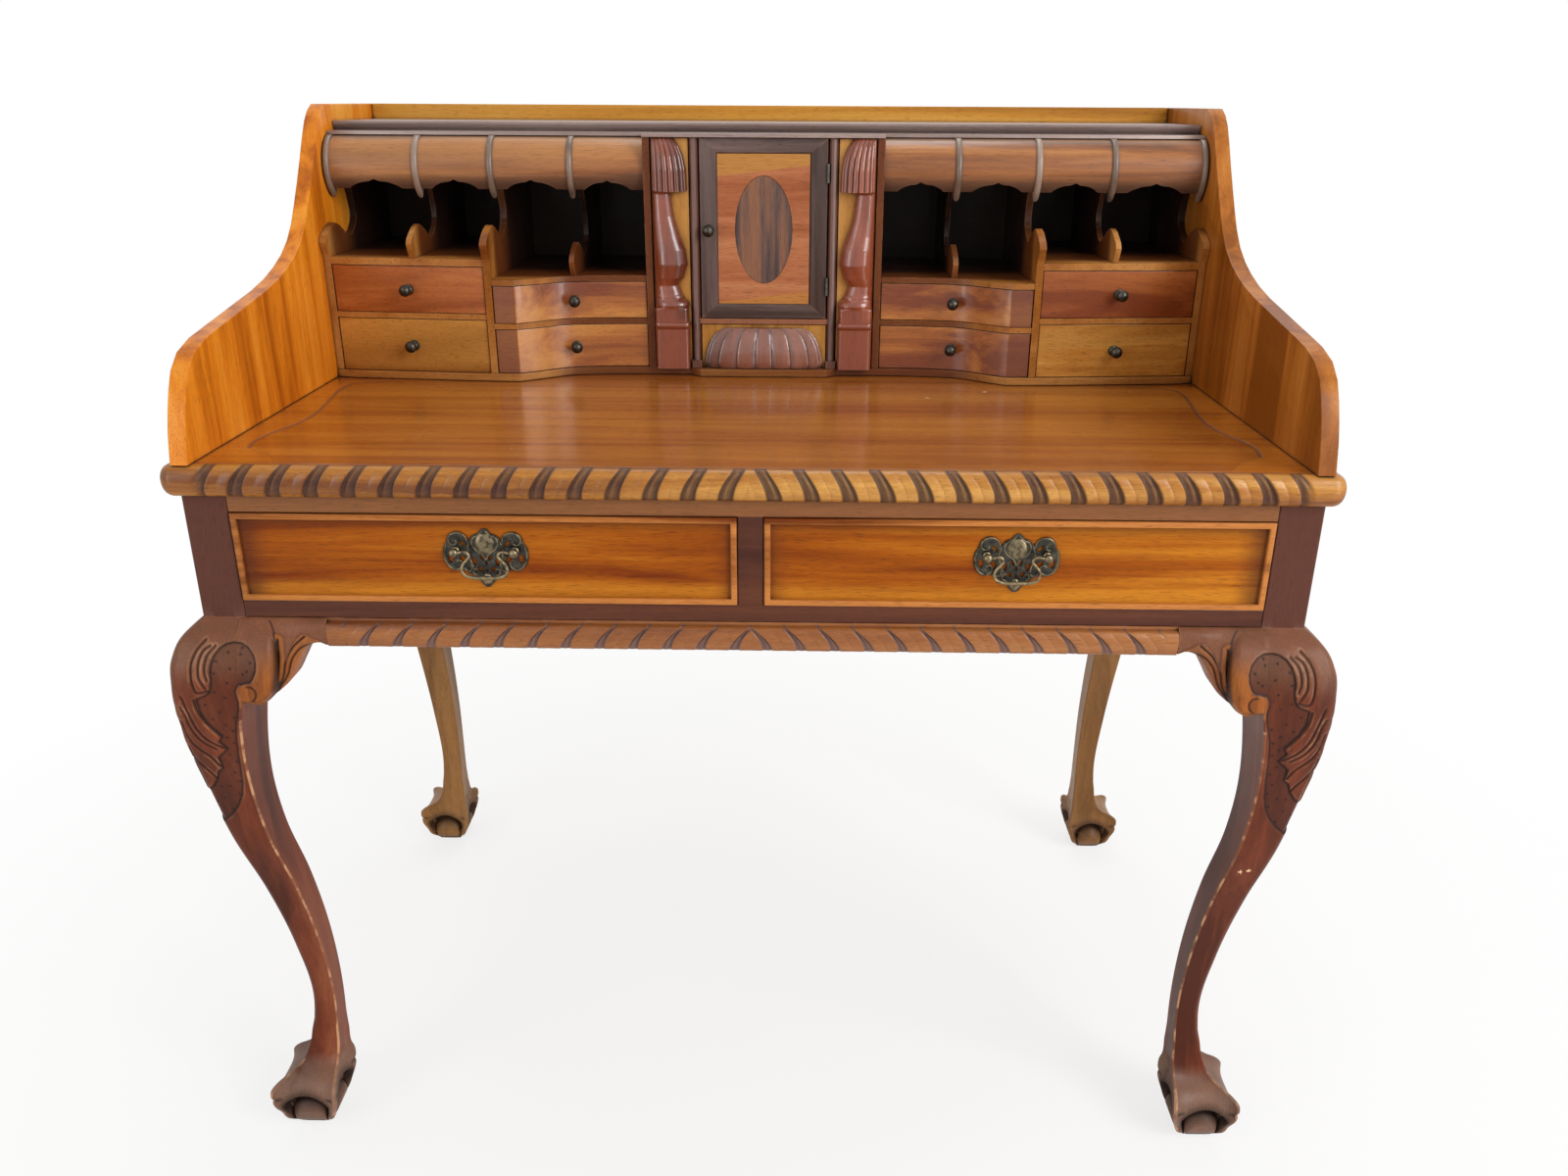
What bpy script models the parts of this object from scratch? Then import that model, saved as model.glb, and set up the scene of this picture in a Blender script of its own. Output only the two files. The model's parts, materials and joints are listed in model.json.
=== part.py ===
"""A mahogany writing desk: a case with two drawers on four cabriole legs with claw-and-ball
feet, and on its top an open gallery of pigeonholes, small drawers and a prospect cupboard.

Metres, +Z up. The origin is on the floor under the middle of the desk, and the front faces -Y.
"""

import math

import bmesh
import bpy
from mathutils import Matrix, Vector

# Driving dimensions
CASE_WIDTH = 1.0625
CASE_DEPTH = 0.628
LEG_HEIGHT = 0.641
CASE_HEIGHT = 0.123
TOP_THICKNESS = 0.030
GALLERY_HEIGHT = 0.307

# Clearances
SEAT = 0.0003
RUNNING = 0.0008
OVERRUN = 0.002

# Case
POST_SIDE = 0.042
TOP_RAIL = 0.0165
BOTTOM_RAIL = 0.0175
RAIL_DEPTH = 0.022
STILE_WIDTH = 0.024
SIDE_PANEL = 0.018
BACK_PANEL = 0.014
PANEL_RECESS = 0.001
DUSTBOARD = 0.006
GUIDE_HEIGHT = 0.060

# Cabriole legs
KNEE_SWELL = 0.032
ARRIS_RADIUS = 0.0025
LEG_RINGS = 14
FOOT_HEIGHT = 0.104
FOOT_WIDTH = 0.074
FOOT_INSET = 0.020
TALON_RADIUS = 0.006
BRACKET_REACH = 0.079
BRACKET_DROP = 0.080
BRACKET_TIP = 0.030
BRACKET_BACK = 0.022
BRACKET_FLARE = 0.014
BRACKET_TONGUE = (0.005, 0.014)
BRACKET_TONGUE_RISE = 0.010

# Gadrooned mouldings
EDGE_REACH = 0.0138
EDGE_PITCH = 0.0348
EDGE_FIRST = 0.0227
APRON_REACH = 0.009
APRON_DROP = 0.029
APRON_FILLET = 0.004
APRON_BACK = 0.012
APRON_PITCH = 0.0327
BAND_WIDTH = 0.011
BAND_SLOPE = 0.0015
EDGE_LEAN = 0.013
APRON_LEAN = 0.015

# Large drawers and their pulls
BEAD_WIDTH = 0.006
BEAD_PROUD = 0.0025
BEAD_ROUND = 0.001
FIELD_RECESS = 0.0015
DRAWER_FRONT = 0.018
DRAWER_WALL = 0.010
DRAWER_BOTTOM = 0.006
DRAWER_BOX_HEIGHT = 0.074
DRAWER_BOX_SPARE = 0.030
PULL_WIDTH = 0.081
PULL_RISE = 0.022
PULL_DROP = 0.037
PULL_PLATE = 0.0016
PULL_ABOVE_CENTRE = 0.0087
PULL_HOLE = 0.003
POST_SPACING = 0.0566
POST_RADIUS = 0.0045
POST_LENGTH = 0.0120
BAIL_AXIS_OUT = 0.0082
BAIL_RADIUS = 0.0017
BAIL_DROP = 0.0243
BAIL_HALF_WIDTH = 0.0213

# Gallery
SIDE_BOARD = 0.0167
BACK_BOARD = 0.014
SIDE_BOARD_FORWARD = 0.009
GALLERY_DEPTH = 0.265
GALLERY_SWEEP = 0.050
BASE_RAIL = 0.009
BASE_REVEAL = 0.003
BASE_BREAK = 0.016
BREAK_HALF = 0.0905
SHELF = 0.008
RAIL = 0.0065
PARTITION = 0.008
DIVIDER = 0.006
PARTITION_REVEAL = 0.001
TONGUE = 0.002
OUTER_LOWER_DRAWER = 0.063
OUTER_UPPER_DRAWER = 0.0545
INNER_LOWER_DRAWER = 0.0523
INNER_UPPER_DRAWER = 0.0438
SMALL_FRONT = 0.012
SMALL_WALL = 0.006
SMALL_BOTTOM = 0.004
SMALL_BOX_SPARE = 0.014
MAIN_PARTITION_AT = 0.3195
OUTER_DIVIDER_AT = 0.407
INNER_DIVIDER_AT = 0.2265
UPRIGHT_AT = 0.136
PEAK_HEIGHT = 0.036
PEAK_DEPTH = 0.105

# Gallery top, cornice and canopies
TRAY_DEPTH = 0.0185
TOP_BOARD = 0.004
CORNICE_HEIGHT = 0.0105
CORNICE_COVE = 0.008
TOP_OVERHANG = 0.010
CORNICE_SET_BACK = 0.022
CANOPY_RADIUS = 0.036
CANOPY_BOARD = 0.006
CANOPY_BACK = 0.089
CANOPY_DROP = 0.059
SCALLOP_RISE = 0.011
RIB_WIDTH = 0.0076
RIB_PROUD = 0.0035
RIB_DROP = 0.008
RIB_ROUND = 0.0014
RIB_DRAFT = 0.00015

# Prospect cupboard, its columns, shell drawer and document drawers
COLUMN_AT = 0.08135
COLUMN_WIDTH = 0.0109
COLUMN_FORWARD = 0.0025
FOOT_BLOCK_FORWARD = 0.004
FOOT_BLOCK_HEIGHT = 0.009
SILL_AT = 0.053
SILL = 0.006
DOOR_THICKNESS = 0.016
DOOR_GAP = 0.0014
DOOR_FRAME = 0.020
DOOR_RAIL = 0.0165
DOOR_CHAMFER = 0.0015
DOOR_PANEL = 0.008
DOOR_PANEL_RECESS = 0.0015
OVAL_HALF_WIDTH = 0.0335
OVAL_HALF_HEIGHT = 0.061
OVAL_THICKNESS = 0.0012
HINGE_LENGTH = 0.021
KNUCKLE_RADIUS = 0.0017
HINGE_LEAF = 0.0006
HINGE_LEAF_DEPTH = 0.010
HINGE_FROM_END = 0.038
SHELL_HALF_WIDTH = 0.0712
SHELL_HEIGHT = 0.0475
SHELL_DEPTH = 0.014
PILASTER_WIDTH = 0.0415
PILASTER_DEPTH = 0.019
DOCUMENT_WALL = 0.005
DOCUMENT_FRONT = 0.010

# Knobs
KNOB_RADIUS = 0.0068
KNOB_LENGTH = 0.0175
KNOB_SEAT = 0.0005

# Derived places
HALF_WIDTH = CASE_WIDTH / 2
HALF_DEPTH = CASE_DEPTH / 2
FRONT = -HALF_DEPTH
BACK = HALF_DEPTH
CASE_TOP = LEG_HEIGHT + CASE_HEIGHT
SURFACE = CASE_TOP + TOP_THICKNESS
OPENING_BOTTOM = LEG_HEIGHT + BOTTOM_RAIL
OPENING_TOP = CASE_TOP - TOP_RAIL
OPENING_SIDE = HALF_WIDTH - POST_SIDE
INNER_HALF = HALF_WIDTH - SIDE_BOARD
BASE_TOP = SURFACE + BASE_RAIL
GALLERY_EDGE = SURFACE + GALLERY_HEIGHT
SOFFIT = GALLERY_EDGE - TRAY_DEPTH - CORNICE_HEIGHT - TOP_BOARD
GALLERY_BACK = BACK - BACK_BOARD
GALLERY_FRONT = BACK - GALLERY_DEPTH
POST_LINE = GALLERY_FRONT + GALLERY_SWEEP
CANOPY_Y = GALLERY_FRONT + CANOPY_BACK
CANOPY_Z = SOFFIT - CANOPY_RADIUS
END_PANEL_AT = INNER_HALF - SEAT - PARTITION / 2
OUTER_SHELF_TOP = BASE_TOP + OUTER_LOWER_DRAWER + RAIL + OUTER_UPPER_DRAWER + SHELF
INNER_SHELF_TOP = BASE_TOP + INNER_LOWER_DRAWER + RAIL + INNER_UPPER_DRAWER + RAIL
COLUMN_INNER = COLUMN_AT - COLUMN_WIDTH / 2
COLUMN_OUTER = COLUMN_AT + COLUMN_WIDTH / 2
DOOR_FACE = POST_LINE - PARTITION_REVEAL
DOOR_HALF = COLUMN_INNER - DOOR_GAP
DOOR_BOTTOM = BASE_TOP + SILL_AT + SILL + RUNNING
DOOR_TOP = SOFFIT - RUNNING
HINGE_X = DOOR_HALF + DOOR_GAP / 2
HINGE_Y = DOOR_FACE - KNUCKLE_RADIUS

# Height up the leg, outer sweep, inner sweep, edge radius and crown of its faces
LEG_SHARES = (
    (1.000, 0.00, 1.00, 0.06, 0.00),
    (0.978, 0.50, 1.00, 0.14, 0.02),
    (0.945, 0.86, 0.99, 0.26, 0.05),
    (0.900, 1.00, 0.96, 0.32, 0.06),
    (0.820, 0.95, 0.78, 0.29, 0.04),
    (0.712, 0.625, 0.68, 0.22, 0.02),
    (0.616, 0.31, 0.77, 0.20, 0.01),
    (0.500, -0.21, 1.05, 0.20, 0.00),
    (0.370, -0.65, 1.25, 0.20, 0.00),
    (0.240, -0.87, 1.31, 0.20, 0.00),
    (0.180, -0.77, 1.29, 0.22, 0.00),
)
# Along a leg's face, where its shoulder lies, how near the arris it may come and its share of the crown
SHAFT_FACE_SHARES = (0.5, 0.8, 0.7)
# Along a foot's face, where its shoulder lies, and the rounding of a talon
FOOT_SHOULDER_SHARE = 0.45
TALON_SHARE = 0.18
# Height up the foot, inset of its middle, half width at the talons, half width at the web or ball
# and how far out that web or ball lies beside its middle
FOOT_SHARES = (
    (1.00, 1.91, 0.44, 0.43, 1.00),
    (0.90, 1.84, 0.48, 0.46, 1.00),
    (0.81, 1.73, 0.53, 0.50, 1.00),
    (0.74, 1.57, 0.62, 0.56, 1.01),
    (0.70, 1.41, 0.72, 0.64, 1.02),
    (0.65, 1.18, 0.88, 0.76, 1.03),
    (0.60, 1.05, 0.97, 0.84, 1.03),
    (0.52, 1.00, 1.00, 0.88, 1.02),
    (0.48, 1.00, 1.00, 0.87, 1.00),
    (0.46, 1.00, 0.99, 0.68, 0.92),
    (0.38, 1.00, 0.95, 0.80, 0.92),
    (0.26, 1.02, 0.85, 0.86, 0.92),
    (0.125, 1.00, 0.71, 0.80, 0.92),
    (0.04, 1.00, 0.50, 0.66, 0.92),
    (0.00, 1.00, 0.42, 0.57, 0.92),
)
# Depth and height of the ogee on the gallery's side boards
OGEE_SHARES = (
    (0.000, 0.000),
    (0.021, 0.156),
    (0.076, 0.309),
    (0.228, 0.371),
    (0.404, 0.433),
    (0.523, 0.537),
    (0.602, 0.726),
    (0.675, 0.941),
    (0.718, 1.000),
)
# Places along the half width, and how far back the gallery's front lies there
CREASE_SHARES = ((1.0, 0.42), (0.9466, 0.30), (0.816, 0.19), (0.680, 0.06), (0.5617, 0.0))
SWEEP_SHARES = ((0.5617, 0.0), (0.525, 0.26), (0.486, 0.58), (0.441, 0.84), (0.346, 0.97), (0.2527, 1.0))
# Depth behind the front line and height above the shelf of a partition's shaped edge
PEAK_SHARES = (
    (0.00, 0.00),
    (-0.085, 0.47),
    (0.03, 0.75),
    (0.28, 1.00),
    (0.52, 0.72),
    (0.65, 0.49),
    (0.76, 0.49),
    (0.95, 0.83),
    (1.00, 1.28),
    (0.92, 1.95),
)
# Height and half width of the batwing plate
PLATE_SHARES = (
    (0.00, 1.00),
    (0.11, 0.84),
    (0.34, 0.62),
    (0.42, 0.42),
    (0.50, 0.72),
    (0.64, 0.90),
    (0.82, 0.82),
    (0.90, 0.52),
    (1.00, 0.10),
    (0.99, -0.25),
    (0.88, -0.50),
    (0.72, -0.56),
    (0.56, -0.50),
    (0.46, -0.60),
    (0.28, -0.72),
    (0.12, -0.86),
    (0.00, -1.00),
)
# Half width and drop of the bail's swan neck
BAIL_SHARES = (
    (0.66, 0.10),
    (0.82, 0.33),
    (1.00, 0.60),
    (0.90, 0.86),
    (0.52, 0.99),
    (0.00, 1.00),
)
# Height, width, depth, squareness of the plan and depth of the lobes of a pilaster
PILASTER_SHARES = (
    (0.000, 1.00, 0.84, 7.0, 0.0),
    (0.186, 1.00, 0.84, 7.0, 0.0),
    (0.189, 1.02, 0.95, 7.0, 0.0),
    (0.208, 1.02, 0.95, 7.0, 0.0),
    (0.211, 0.98, 0.84, 7.0, 0.0),
    (0.275, 0.98, 0.84, 7.0, 0.0),
    (0.278, 0.99, 0.80, 2.2, 0.0),
    (0.300, 0.99, 0.80, 2.2, 0.0),
    (0.330, 0.80, 0.62, 2.2, 0.0),
    (0.373, 0.70, 0.56, 2.2, 0.0),
    (0.405, 0.86, 0.76, 2.2, 0.0),
    (0.465, 0.98, 0.92, 2.2, 0.0),
    (0.530, 0.93, 0.86, 2.2, 0.0),
    (0.590, 0.77, 0.68, 2.2, 0.0),
    (0.670, 0.61, 0.53, 2.2, 0.0),
    (0.774, 0.53, 0.48, 2.2, 0.0),
    (0.777, 1.00, 0.98, 2.0, 0.11),
    (0.870, 0.98, 1.00, 2.0, 0.11),
    (0.925, 0.91, 0.88, 2.0, 0.11),
    (0.970, 0.79, 0.62, 2.0, 0.10),
    (1.000, 0.64, 0.26, 2.0, 0.06),
)
# Height, half width and depth of the carved shell
SHELL_SHARES = (
    (0.00, 1.00, 0.90),
    (0.28, 0.99, 1.00),
    (0.55, 0.94, 0.93),
    (0.78, 0.86, 0.74),
    (0.93, 0.76, 0.46),
    (1.00, 0.68, 0.22),
)
# Length and radius of a turned knob
KNOB_SHARES = (
    (0.00, 0.85),
    (0.09, 0.85),
    (0.20, 0.46),
    (0.40, 0.46),
    (0.55, 0.90),
    (0.72, 1.00),
    (0.90, 0.74),
    (1.00, 0.28),
)
# Length and radius of a pull's post
PULL_POST_SHARES = (
    (0.00, 1.00),
    (0.15, 1.00),
    (0.30, 0.66),
    (0.55, 0.66),
    (0.70, 1.00),
    (0.90, 0.85),
    (1.00, 0.40),
)
# How far a knee bracket's nose lies up its face, and the rounding at its lower edge and above it
BRACKET_NOSE_SHARE = 0.5
BRACKET_ROUND_SHARE = 0.35
# How full the gadrooned mouldings stand in their bands
BAND_SHARE = 0.70
# How far along the bail its neck starts to turn, and its rise there
BAIL_NECK_SHARES = (0.7, -0.03)
# Places of the holes in the batwing plate and their width, in hole sizes
PULL_HOLE_SHARES = ((0.0, -1.0), (-1.6, -2.6), (1.6, -2.6), (0.0, -4.2), (-8.3, -3.2), (8.3, -3.2))
PULL_HOLE_WIDTH_SHARE = 0.8
# The cove under the cornice: its fillet and its flatness
COVE_SHARES = (0.33, 0.8)
# Half width of a scallop in its bay, the places that draw it, and the depth of a rib's side
SCALLOP_SHARE = 0.62
SCALLOP_PLACE_SHARES = (0.0, 0.19, 0.34, 0.45, 0.50, 0.55, 0.66, 0.81, 1.0)
RIB_SIDE_SHARE = 0.75
# How deep the grooves between the shell's lobes are
SHELL_LOBE_SHARE = 0.14
SHELL_SQUARENESS = 3.0
NOSE_ANGLES = (-90, -62, -25, 25, 62, 90)
CORNER_STEPS = 4
BRACKET_STEPS = 7
COVE_STEPS = 4
TURNED_SIDES = 8
BAIL_SIDES = 6
LOBE_SEGMENTS = 16
SHELL_SEGMENTS = 18


def clear_scene():
    for thing in list(bpy.data.objects):
        bpy.data.objects.remove(thing, do_unlink=True)


def make_material(name, colour, roughness, metallic=0.0):
    material = bpy.data.materials.new(name)
    material.use_nodes = True
    shader = material.node_tree.nodes["Principled BSDF"]
    shader.inputs["Base Color"].default_value = (*colour, 1.0)
    shader.inputs["Roughness"].default_value = roughness
    shader.inputs["Metallic"].default_value = metallic
    material.diffuse_color = (*colour, 1.0)
    return material


def mixed(a, b, share):
    """The value, or the tuple of values, that lies at this share of the way from a to b."""
    if isinstance(a, tuple):
        return tuple(mixed(x, y, share) for x, y in zip(a, b))
    return a + (b - a) * share


def spline(knots, steps):
    """Points on a smooth curve through the knots, with this many steps from knot to knot."""
    points = []
    for i in range(len(knots) - 1):
        before = knots[max(i - 1, 0)]
        after = knots[min(i + 2, len(knots) - 1)]
        for step in range(steps):
            t = step / steps
            weights = (
                -0.5 * t + t * t - 0.5 * t**3,
                1.0 - 2.5 * t * t + 1.5 * t**3,
                0.5 * t + 2.0 * t * t - 1.5 * t**3,
                -0.5 * t * t + 0.5 * t**3,
            )
            four = (before, knots[i], knots[i + 1], after)
            points.append(tuple(sum(w * k[axis] for w, k in zip(weights, four)) for axis in range(len(knots[0]))))
    return points + [knots[-1]]


def at_height(rows, height):
    """The row of a table, whose first column falls, that belongs to this height."""
    for upper, lower in zip(rows, rows[1:]):
        if height >= lower[0]:
            return mixed(upper, lower, (upper[0] - height) / (upper[0] - lower[0]))
    return rows[-1]


def facing_out(form):
    """The closed form with every face turned outwards."""
    bmesh.ops.recalc_face_normals(form, faces=form.faces)
    if form.calc_volume(signed=True) < 0:
        bmesh.ops.reverse_faces(form, faces=form.faces)
    return form


def loft(rings, closed=False):
    """A skin over rings of equally many points, capped at both ends or closed on itself."""
    form = bmesh.new()
    loops = [[form.verts.new(point) for point in ring] for ring in rings]
    following = loops[1:] + (loops[:1] if closed else [])
    for loop, after in zip(loops, following):
        for i in range(len(loop)):
            j = (i + 1) % len(loop)
            form.faces.new((loop[i], loop[j], after[j], after[i]))
    if not closed:
        form.faces.new(loops[0])
        form.faces.new(loops[-1])
    return facing_out(form)


def prism(outline, axis, low, high):
    """An outline in the plane across an axis, drawn out along that axis."""
    place = {
        "x": lambda point, along: (along, point[0], point[1]),
        "y": lambda point, along: (point[0], along, point[1]),
        "z": lambda point, along: (point[0], point[1], along),
    }[axis]
    return loft([[place(point, along) for point in outline] for along in (low, high)])


def block(x, y, z):
    """A box from its spans along the three axes."""
    low_x, high_x = min(x), max(x)
    return prism(((low_x, y[0]), (high_x, y[0]), (high_x, y[1]), (low_x, y[1])), "z", z[0], z[1])


def pierced_sheet(outlines, low, high):
    """A sheet in the XZ plane from its outer outline and the outlines of its holes."""
    form = bmesh.new()
    for outline in outlines:
        loop = [form.verts.new((x, low, z)) for x, z in outline]
        for i, vert in enumerate(loop):
            form.edges.new((vert, loop[(i + 1) % len(loop)]))
    bmesh.ops.triangle_fill(form, edges=form.edges, use_beauty=True, normal=(0, -1, 0))
    grown = bmesh.ops.extrude_face_region(form, geom=form.faces)
    moved = [element for element in grown["geom"] if isinstance(element, bmesh.types.BMVert)]
    bmesh.ops.translate(form, verts=moved, vec=(0, high - low, 0))
    return facing_out(form)


def tube(path, radius, sides):
    """A round bar along a path that lies in the XZ plane."""
    rings = []
    for i, point in enumerate(path):
        before = Vector(path[max(i - 1, 0)])
        after = Vector(path[min(i + 1, len(path) - 1)])
        along = (after - before).normalized()
        across = Vector((0, 1, 0)).cross(along)
        ring = []
        for side in range(sides):
            angle = 2 * math.pi * side / sides
            out = math.cos(angle) * across + math.sin(angle) * Vector((0, 1, 0))
            ring.append(Vector(point) + radius * out)
        rings.append(ring)
    return loft(rings)


def turned(shares, length, radius, sides):
    """A turning whose axis runs from the origin towards -Y."""
    rings = []
    for along, out in shares:
        ring = []
        for side in range(sides):
            angle = 2 * math.pi * side / sides
            ring.append((radius * out * math.cos(angle), -length * along, radius * out * math.sin(angle)))
        rings.append(ring)
    return loft(rings)


def moved(form, place, turn=0.0):
    """The form turned about +Z and then set down at a place."""
    matrix = Matrix.Translation(place) @ Matrix.Rotation(turn, 4, "Z")
    bmesh.ops.transform(form, matrix=matrix, verts=form.verts)
    return form


def add_body(name, axis_point=(0, 0, 0), parent=None):
    """An empty on a joint's axis, which carries the pieces that move together."""
    body = bpy.data.objects.new(name, None)
    bpy.context.scene.collection.objects.link(body)
    body["axis_point"] = axis_point
    body.location = Vector(axis_point) - (Vector(parent["axis_point"]) if parent else Vector())
    body.parent = parent
    return body


def add_piece(name, form, material, body=None):
    """An object from a form that is drawn in place, with its origin on its body's axis."""
    mesh = bpy.data.meshes.new(name)
    if body:
        bmesh.ops.translate(form, verts=form.verts, vec=-Vector(body["axis_point"]))
    form.to_mesh(mesh)
    form.free()
    mesh.materials.append(material)
    mesh.shade_smooth()
    mesh.set_sharp_from_angle(angle=math.radians(35))
    piece = bpy.data.objects.new(name, mesh)
    bpy.context.scene.collection.objects.link(piece)
    piece.parent = body
    return piece


def add_tool(piece, form, operation):
    """A Boolean of the piece with a hidden form."""
    mesh = bpy.data.meshes.new(piece.name + "_tool")
    form.to_mesh(mesh)
    form.free()
    tool = bpy.data.objects.new(piece.name + "_tool", mesh)
    bpy.context.scene.collection.objects.link(tool)
    tool.hide_render = True
    tool.display_type = "WIRE"
    modifier = piece.modifiers.new(operation.lower(), "BOOLEAN")
    modifier.operation = operation
    modifier.solver = "EXACT"
    modifier.object = tool


def gallery_front(x):
    """How far back the gallery's shaped front lies at this distance from the middle."""
    share = abs(x) / INNER_HALF
    knots = CREASE_SHARES + tuple(spline(SWEEP_SHARES, 3))[1:]
    for outer, inner in zip(knots, knots[1:]):
        if share >= inner[0]:
            across = min((outer[0] - share) / (outer[0] - inner[0]), 1.0)
            return GALLERY_FRONT + GALLERY_SWEEP * mixed(outer[1], inner[1], max(across, 0.0))
    return POST_LINE


def front_places(low, high):
    """The distances from the middle, in falling order, at which the gallery's front bends."""
    knots = CREASE_SHARES + tuple(spline(SWEEP_SHARES, 2))[1:]
    between = [share[0] * INNER_HALF for share in knots]
    return [high] + [x for x in between if low + OVERRUN < x < high - OVERRUN] + [low]


def square_ring(half, radii, faces, z, centre):
    """A leg's section: three points round each corner and three along each face."""
    ring = []
    for quarter, radius in enumerate(radii):
        turn = math.pi / 2 * quarter
        arc = half - radius
        (middle, *shoulder), (_, *following) = faces[quarter], faces[(quarter + 1) % 4]
        points = [(middle, 0.0), shoulder]
        turns = (0, math.pi / 4, math.pi / 2)
        points += [(arc + radius * math.cos(bend), arc + radius * math.sin(bend)) for bend in turns]
        points += [(following[1], following[0])]
        for x, y in points:
            across = centre + x * math.cos(turn) - y * math.sin(turn)
            deep = centre + x * math.sin(turn) + y * math.cos(turn)
            ring.append((across, deep, z))
    return ring


def shaft_ring(share):
    _, outer, inner, edge, crown = at_height(LEG_SHARES, share)
    out = outer * KNEE_SWELL
    deep = inner * POST_SIDE
    half = (out + deep) / 2
    corner = max(edge * POST_SIDE, ARRIS_RADIUS)
    shoulder, near, fullness = SHAFT_FACE_SHARES
    along = min(shoulder * half, near * (half - corner))
    flat = (half, half, along)
    swell = crown * POST_SIDE
    crowned = (half + swell, half + fullness * swell, along)
    radii = (ARRIS_RADIUS, ARRIS_RADIUS, corner, ARRIS_RADIUS)
    return square_ring(half, radii, (flat, flat, crowned, crowned), share * LEG_HEIGHT, (deep - out) / 2)


def foot_ring(row):
    height, inset, talon, face, beside = row
    half = talon * FOOT_WIDTH / 2
    middle = face * FOOT_WIDTH / 2
    web = (middle, middle * beside, middle * FOOT_SHOULDER_SHARE)
    radius = min(TALON_RADIUS, TALON_SHARE * half)
    return square_ring(half, (radius,) * 4, (web,) * 4, height * FOOT_HEIGHT, inset * FOOT_INSET)


def leg_form():
    """A leg about its case corner: the first two coordinates run inwards from the corner."""
    top = CASE_TOP - SEAT
    rings = [[(x, y, top) for x, y, _ in shaft_ring(1.0)]]
    lowest = LEG_SHARES[-1][0]
    for step in range(LEG_RINGS + 1):
        # The rings lie closer together on the knee than on the shank.
        share = mixed(1.0, lowest, (step / LEG_RINGS) ** 1.25)
        rings.append(shaft_ring(share))
    rings += [foot_ring(row) for row in FOOT_SHARES]
    return loft(rings)


def bracket_form(gap, tongued):
    """A knee bracket beside the leg's inner face, flaring to the knee, with or without a tongue on top."""
    rings = []
    for step in range(BRACKET_STEPS + 1):
        share = step / BRACKET_STEPS
        across = mixed(POST_SIDE + gap, POST_SIDE + BRACKET_REACH, share)
        # The lower edge falls from the tip in a hollow curve that ends upright at the leg.
        fall = (1 - share) ** 1.8
        low = LEG_HEIGHT - mixed(BRACKET_TIP, BRACKET_DROP, fall)
        proud = mixed(APRON_REACH, APRON_REACH + BRACKET_FLARE, (1 - share) ** 2)
        nose = BRACKET_NOSE_SHARE * (LEG_HEIGHT - low)
        top = LEG_HEIGHT - SEAT
        section = [(BRACKET_BACK, top), (BRACKET_BACK, low), (-BRACKET_ROUND_SHARE * proud, low)]
        section += [(-proud, low + BRACKET_ROUND_SHARE * nose), (-proud, low + nose)]
        section += [(-BRACKET_NOSE_SHARE * APRON_REACH, LEG_HEIGHT - APRON_FILLET), (0.0, top)]
        if tongued:
            near, far = BRACKET_TONGUE
            crest = top + BRACKET_TONGUE_RISE
            section += [(near, top), (near, crest), (far, crest), (far, top)]
        rings.append([(across, deep, z) for deep, z in section])
    return loft(rings)


def to_corner(form, side, end, swapped=False):
    """A form drawn about a case corner, set at the corner on this side and at this end of the desk."""
    for vert in form.verts:
        across, deep, z = vert.co
        if swapped:
            across, deep = deep, across
        vert.co = (side * (HALF_WIDTH - across), end * (HALF_DEPTH - deep), z)
    return facing_out(form)


def add_legs(wood):
    for side, hand in ((-1, "left"), (1, "right")):
        for end, row in ((-1, "front"), (1, "back")):
            add_piece(f"{hand}_{row}_leg", to_corner(leg_form(), side, end), wood)
        add_piece(f"{hand}_knee_bracket", to_corner(bracket_form(SEAT, False), side, -1), wood)


def add_case(wood, dark_wood, plain_wood):
    half = OPENING_SIDE - SEAT
    stile = STILE_WIDTH / 2
    low, high = LEG_HEIGHT, CASE_TOP - SEAT
    frame = [(-half, low), (half, low), (half, OPENING_BOTTOM), (stile, OPENING_BOTTOM)]
    frame += [(stile, OPENING_TOP), (half, OPENING_TOP), (half, high), (-half, high)]
    frame += [(-half, OPENING_TOP), (-stile, OPENING_TOP), (-stile, OPENING_BOTTOM), (-half, OPENING_BOTTOM)]
    add_piece("front_rails", prism(frame, "y", FRONT, FRONT + RAIL_DEPTH), dark_wood)
    reach = HALF_DEPTH - POST_SIDE - SEAT
    for side, hand in ((-1, "left"), (1, "right")):
        outer = side * (HALF_WIDTH - PANEL_RECESS)
        inner = side * (HALF_WIDTH - SIDE_PANEL)
        panel = add_piece(f"{hand}_case_side", block((inner, outer), (-reach, reach), (low, high)), wood)
        for end in (-1, 1):
            add_tool(panel, to_corner(bracket_form(2 * SEAT, True), side, end, swapped=True), "UNION")
    back = (BACK - PANEL_RECESS - BACK_PANEL, BACK - PANEL_RECESS)
    add_piece("case_back", block((-half, half), back, (low, high)), plain_wood)
    span = (FRONT + RAIL_DEPTH + SEAT, back[0] - SEAT)
    board = (OPENING_BOTTOM - DUSTBOARD, OPENING_BOTTOM)
    guide = STILE_WIDTH / 2 - RUNNING
    top = OPENING_BOTTOM + GUIDE_HEIGHT
    section = [(-half, board[0]), (half, board[0]), (half, board[1]), (guide, board[1])]
    section += [(guide, top), (-guide, top), (-guide, board[1]), (-half, board[1])]
    add_piece("drawer_dustboard", prism(section, "y", *span), plain_wood)
    add_piece("writing_top", block((-HALF_WIDTH, HALF_WIDTH), (FRONT, BACK), (CASE_TOP, SURFACE)), wood)


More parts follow.
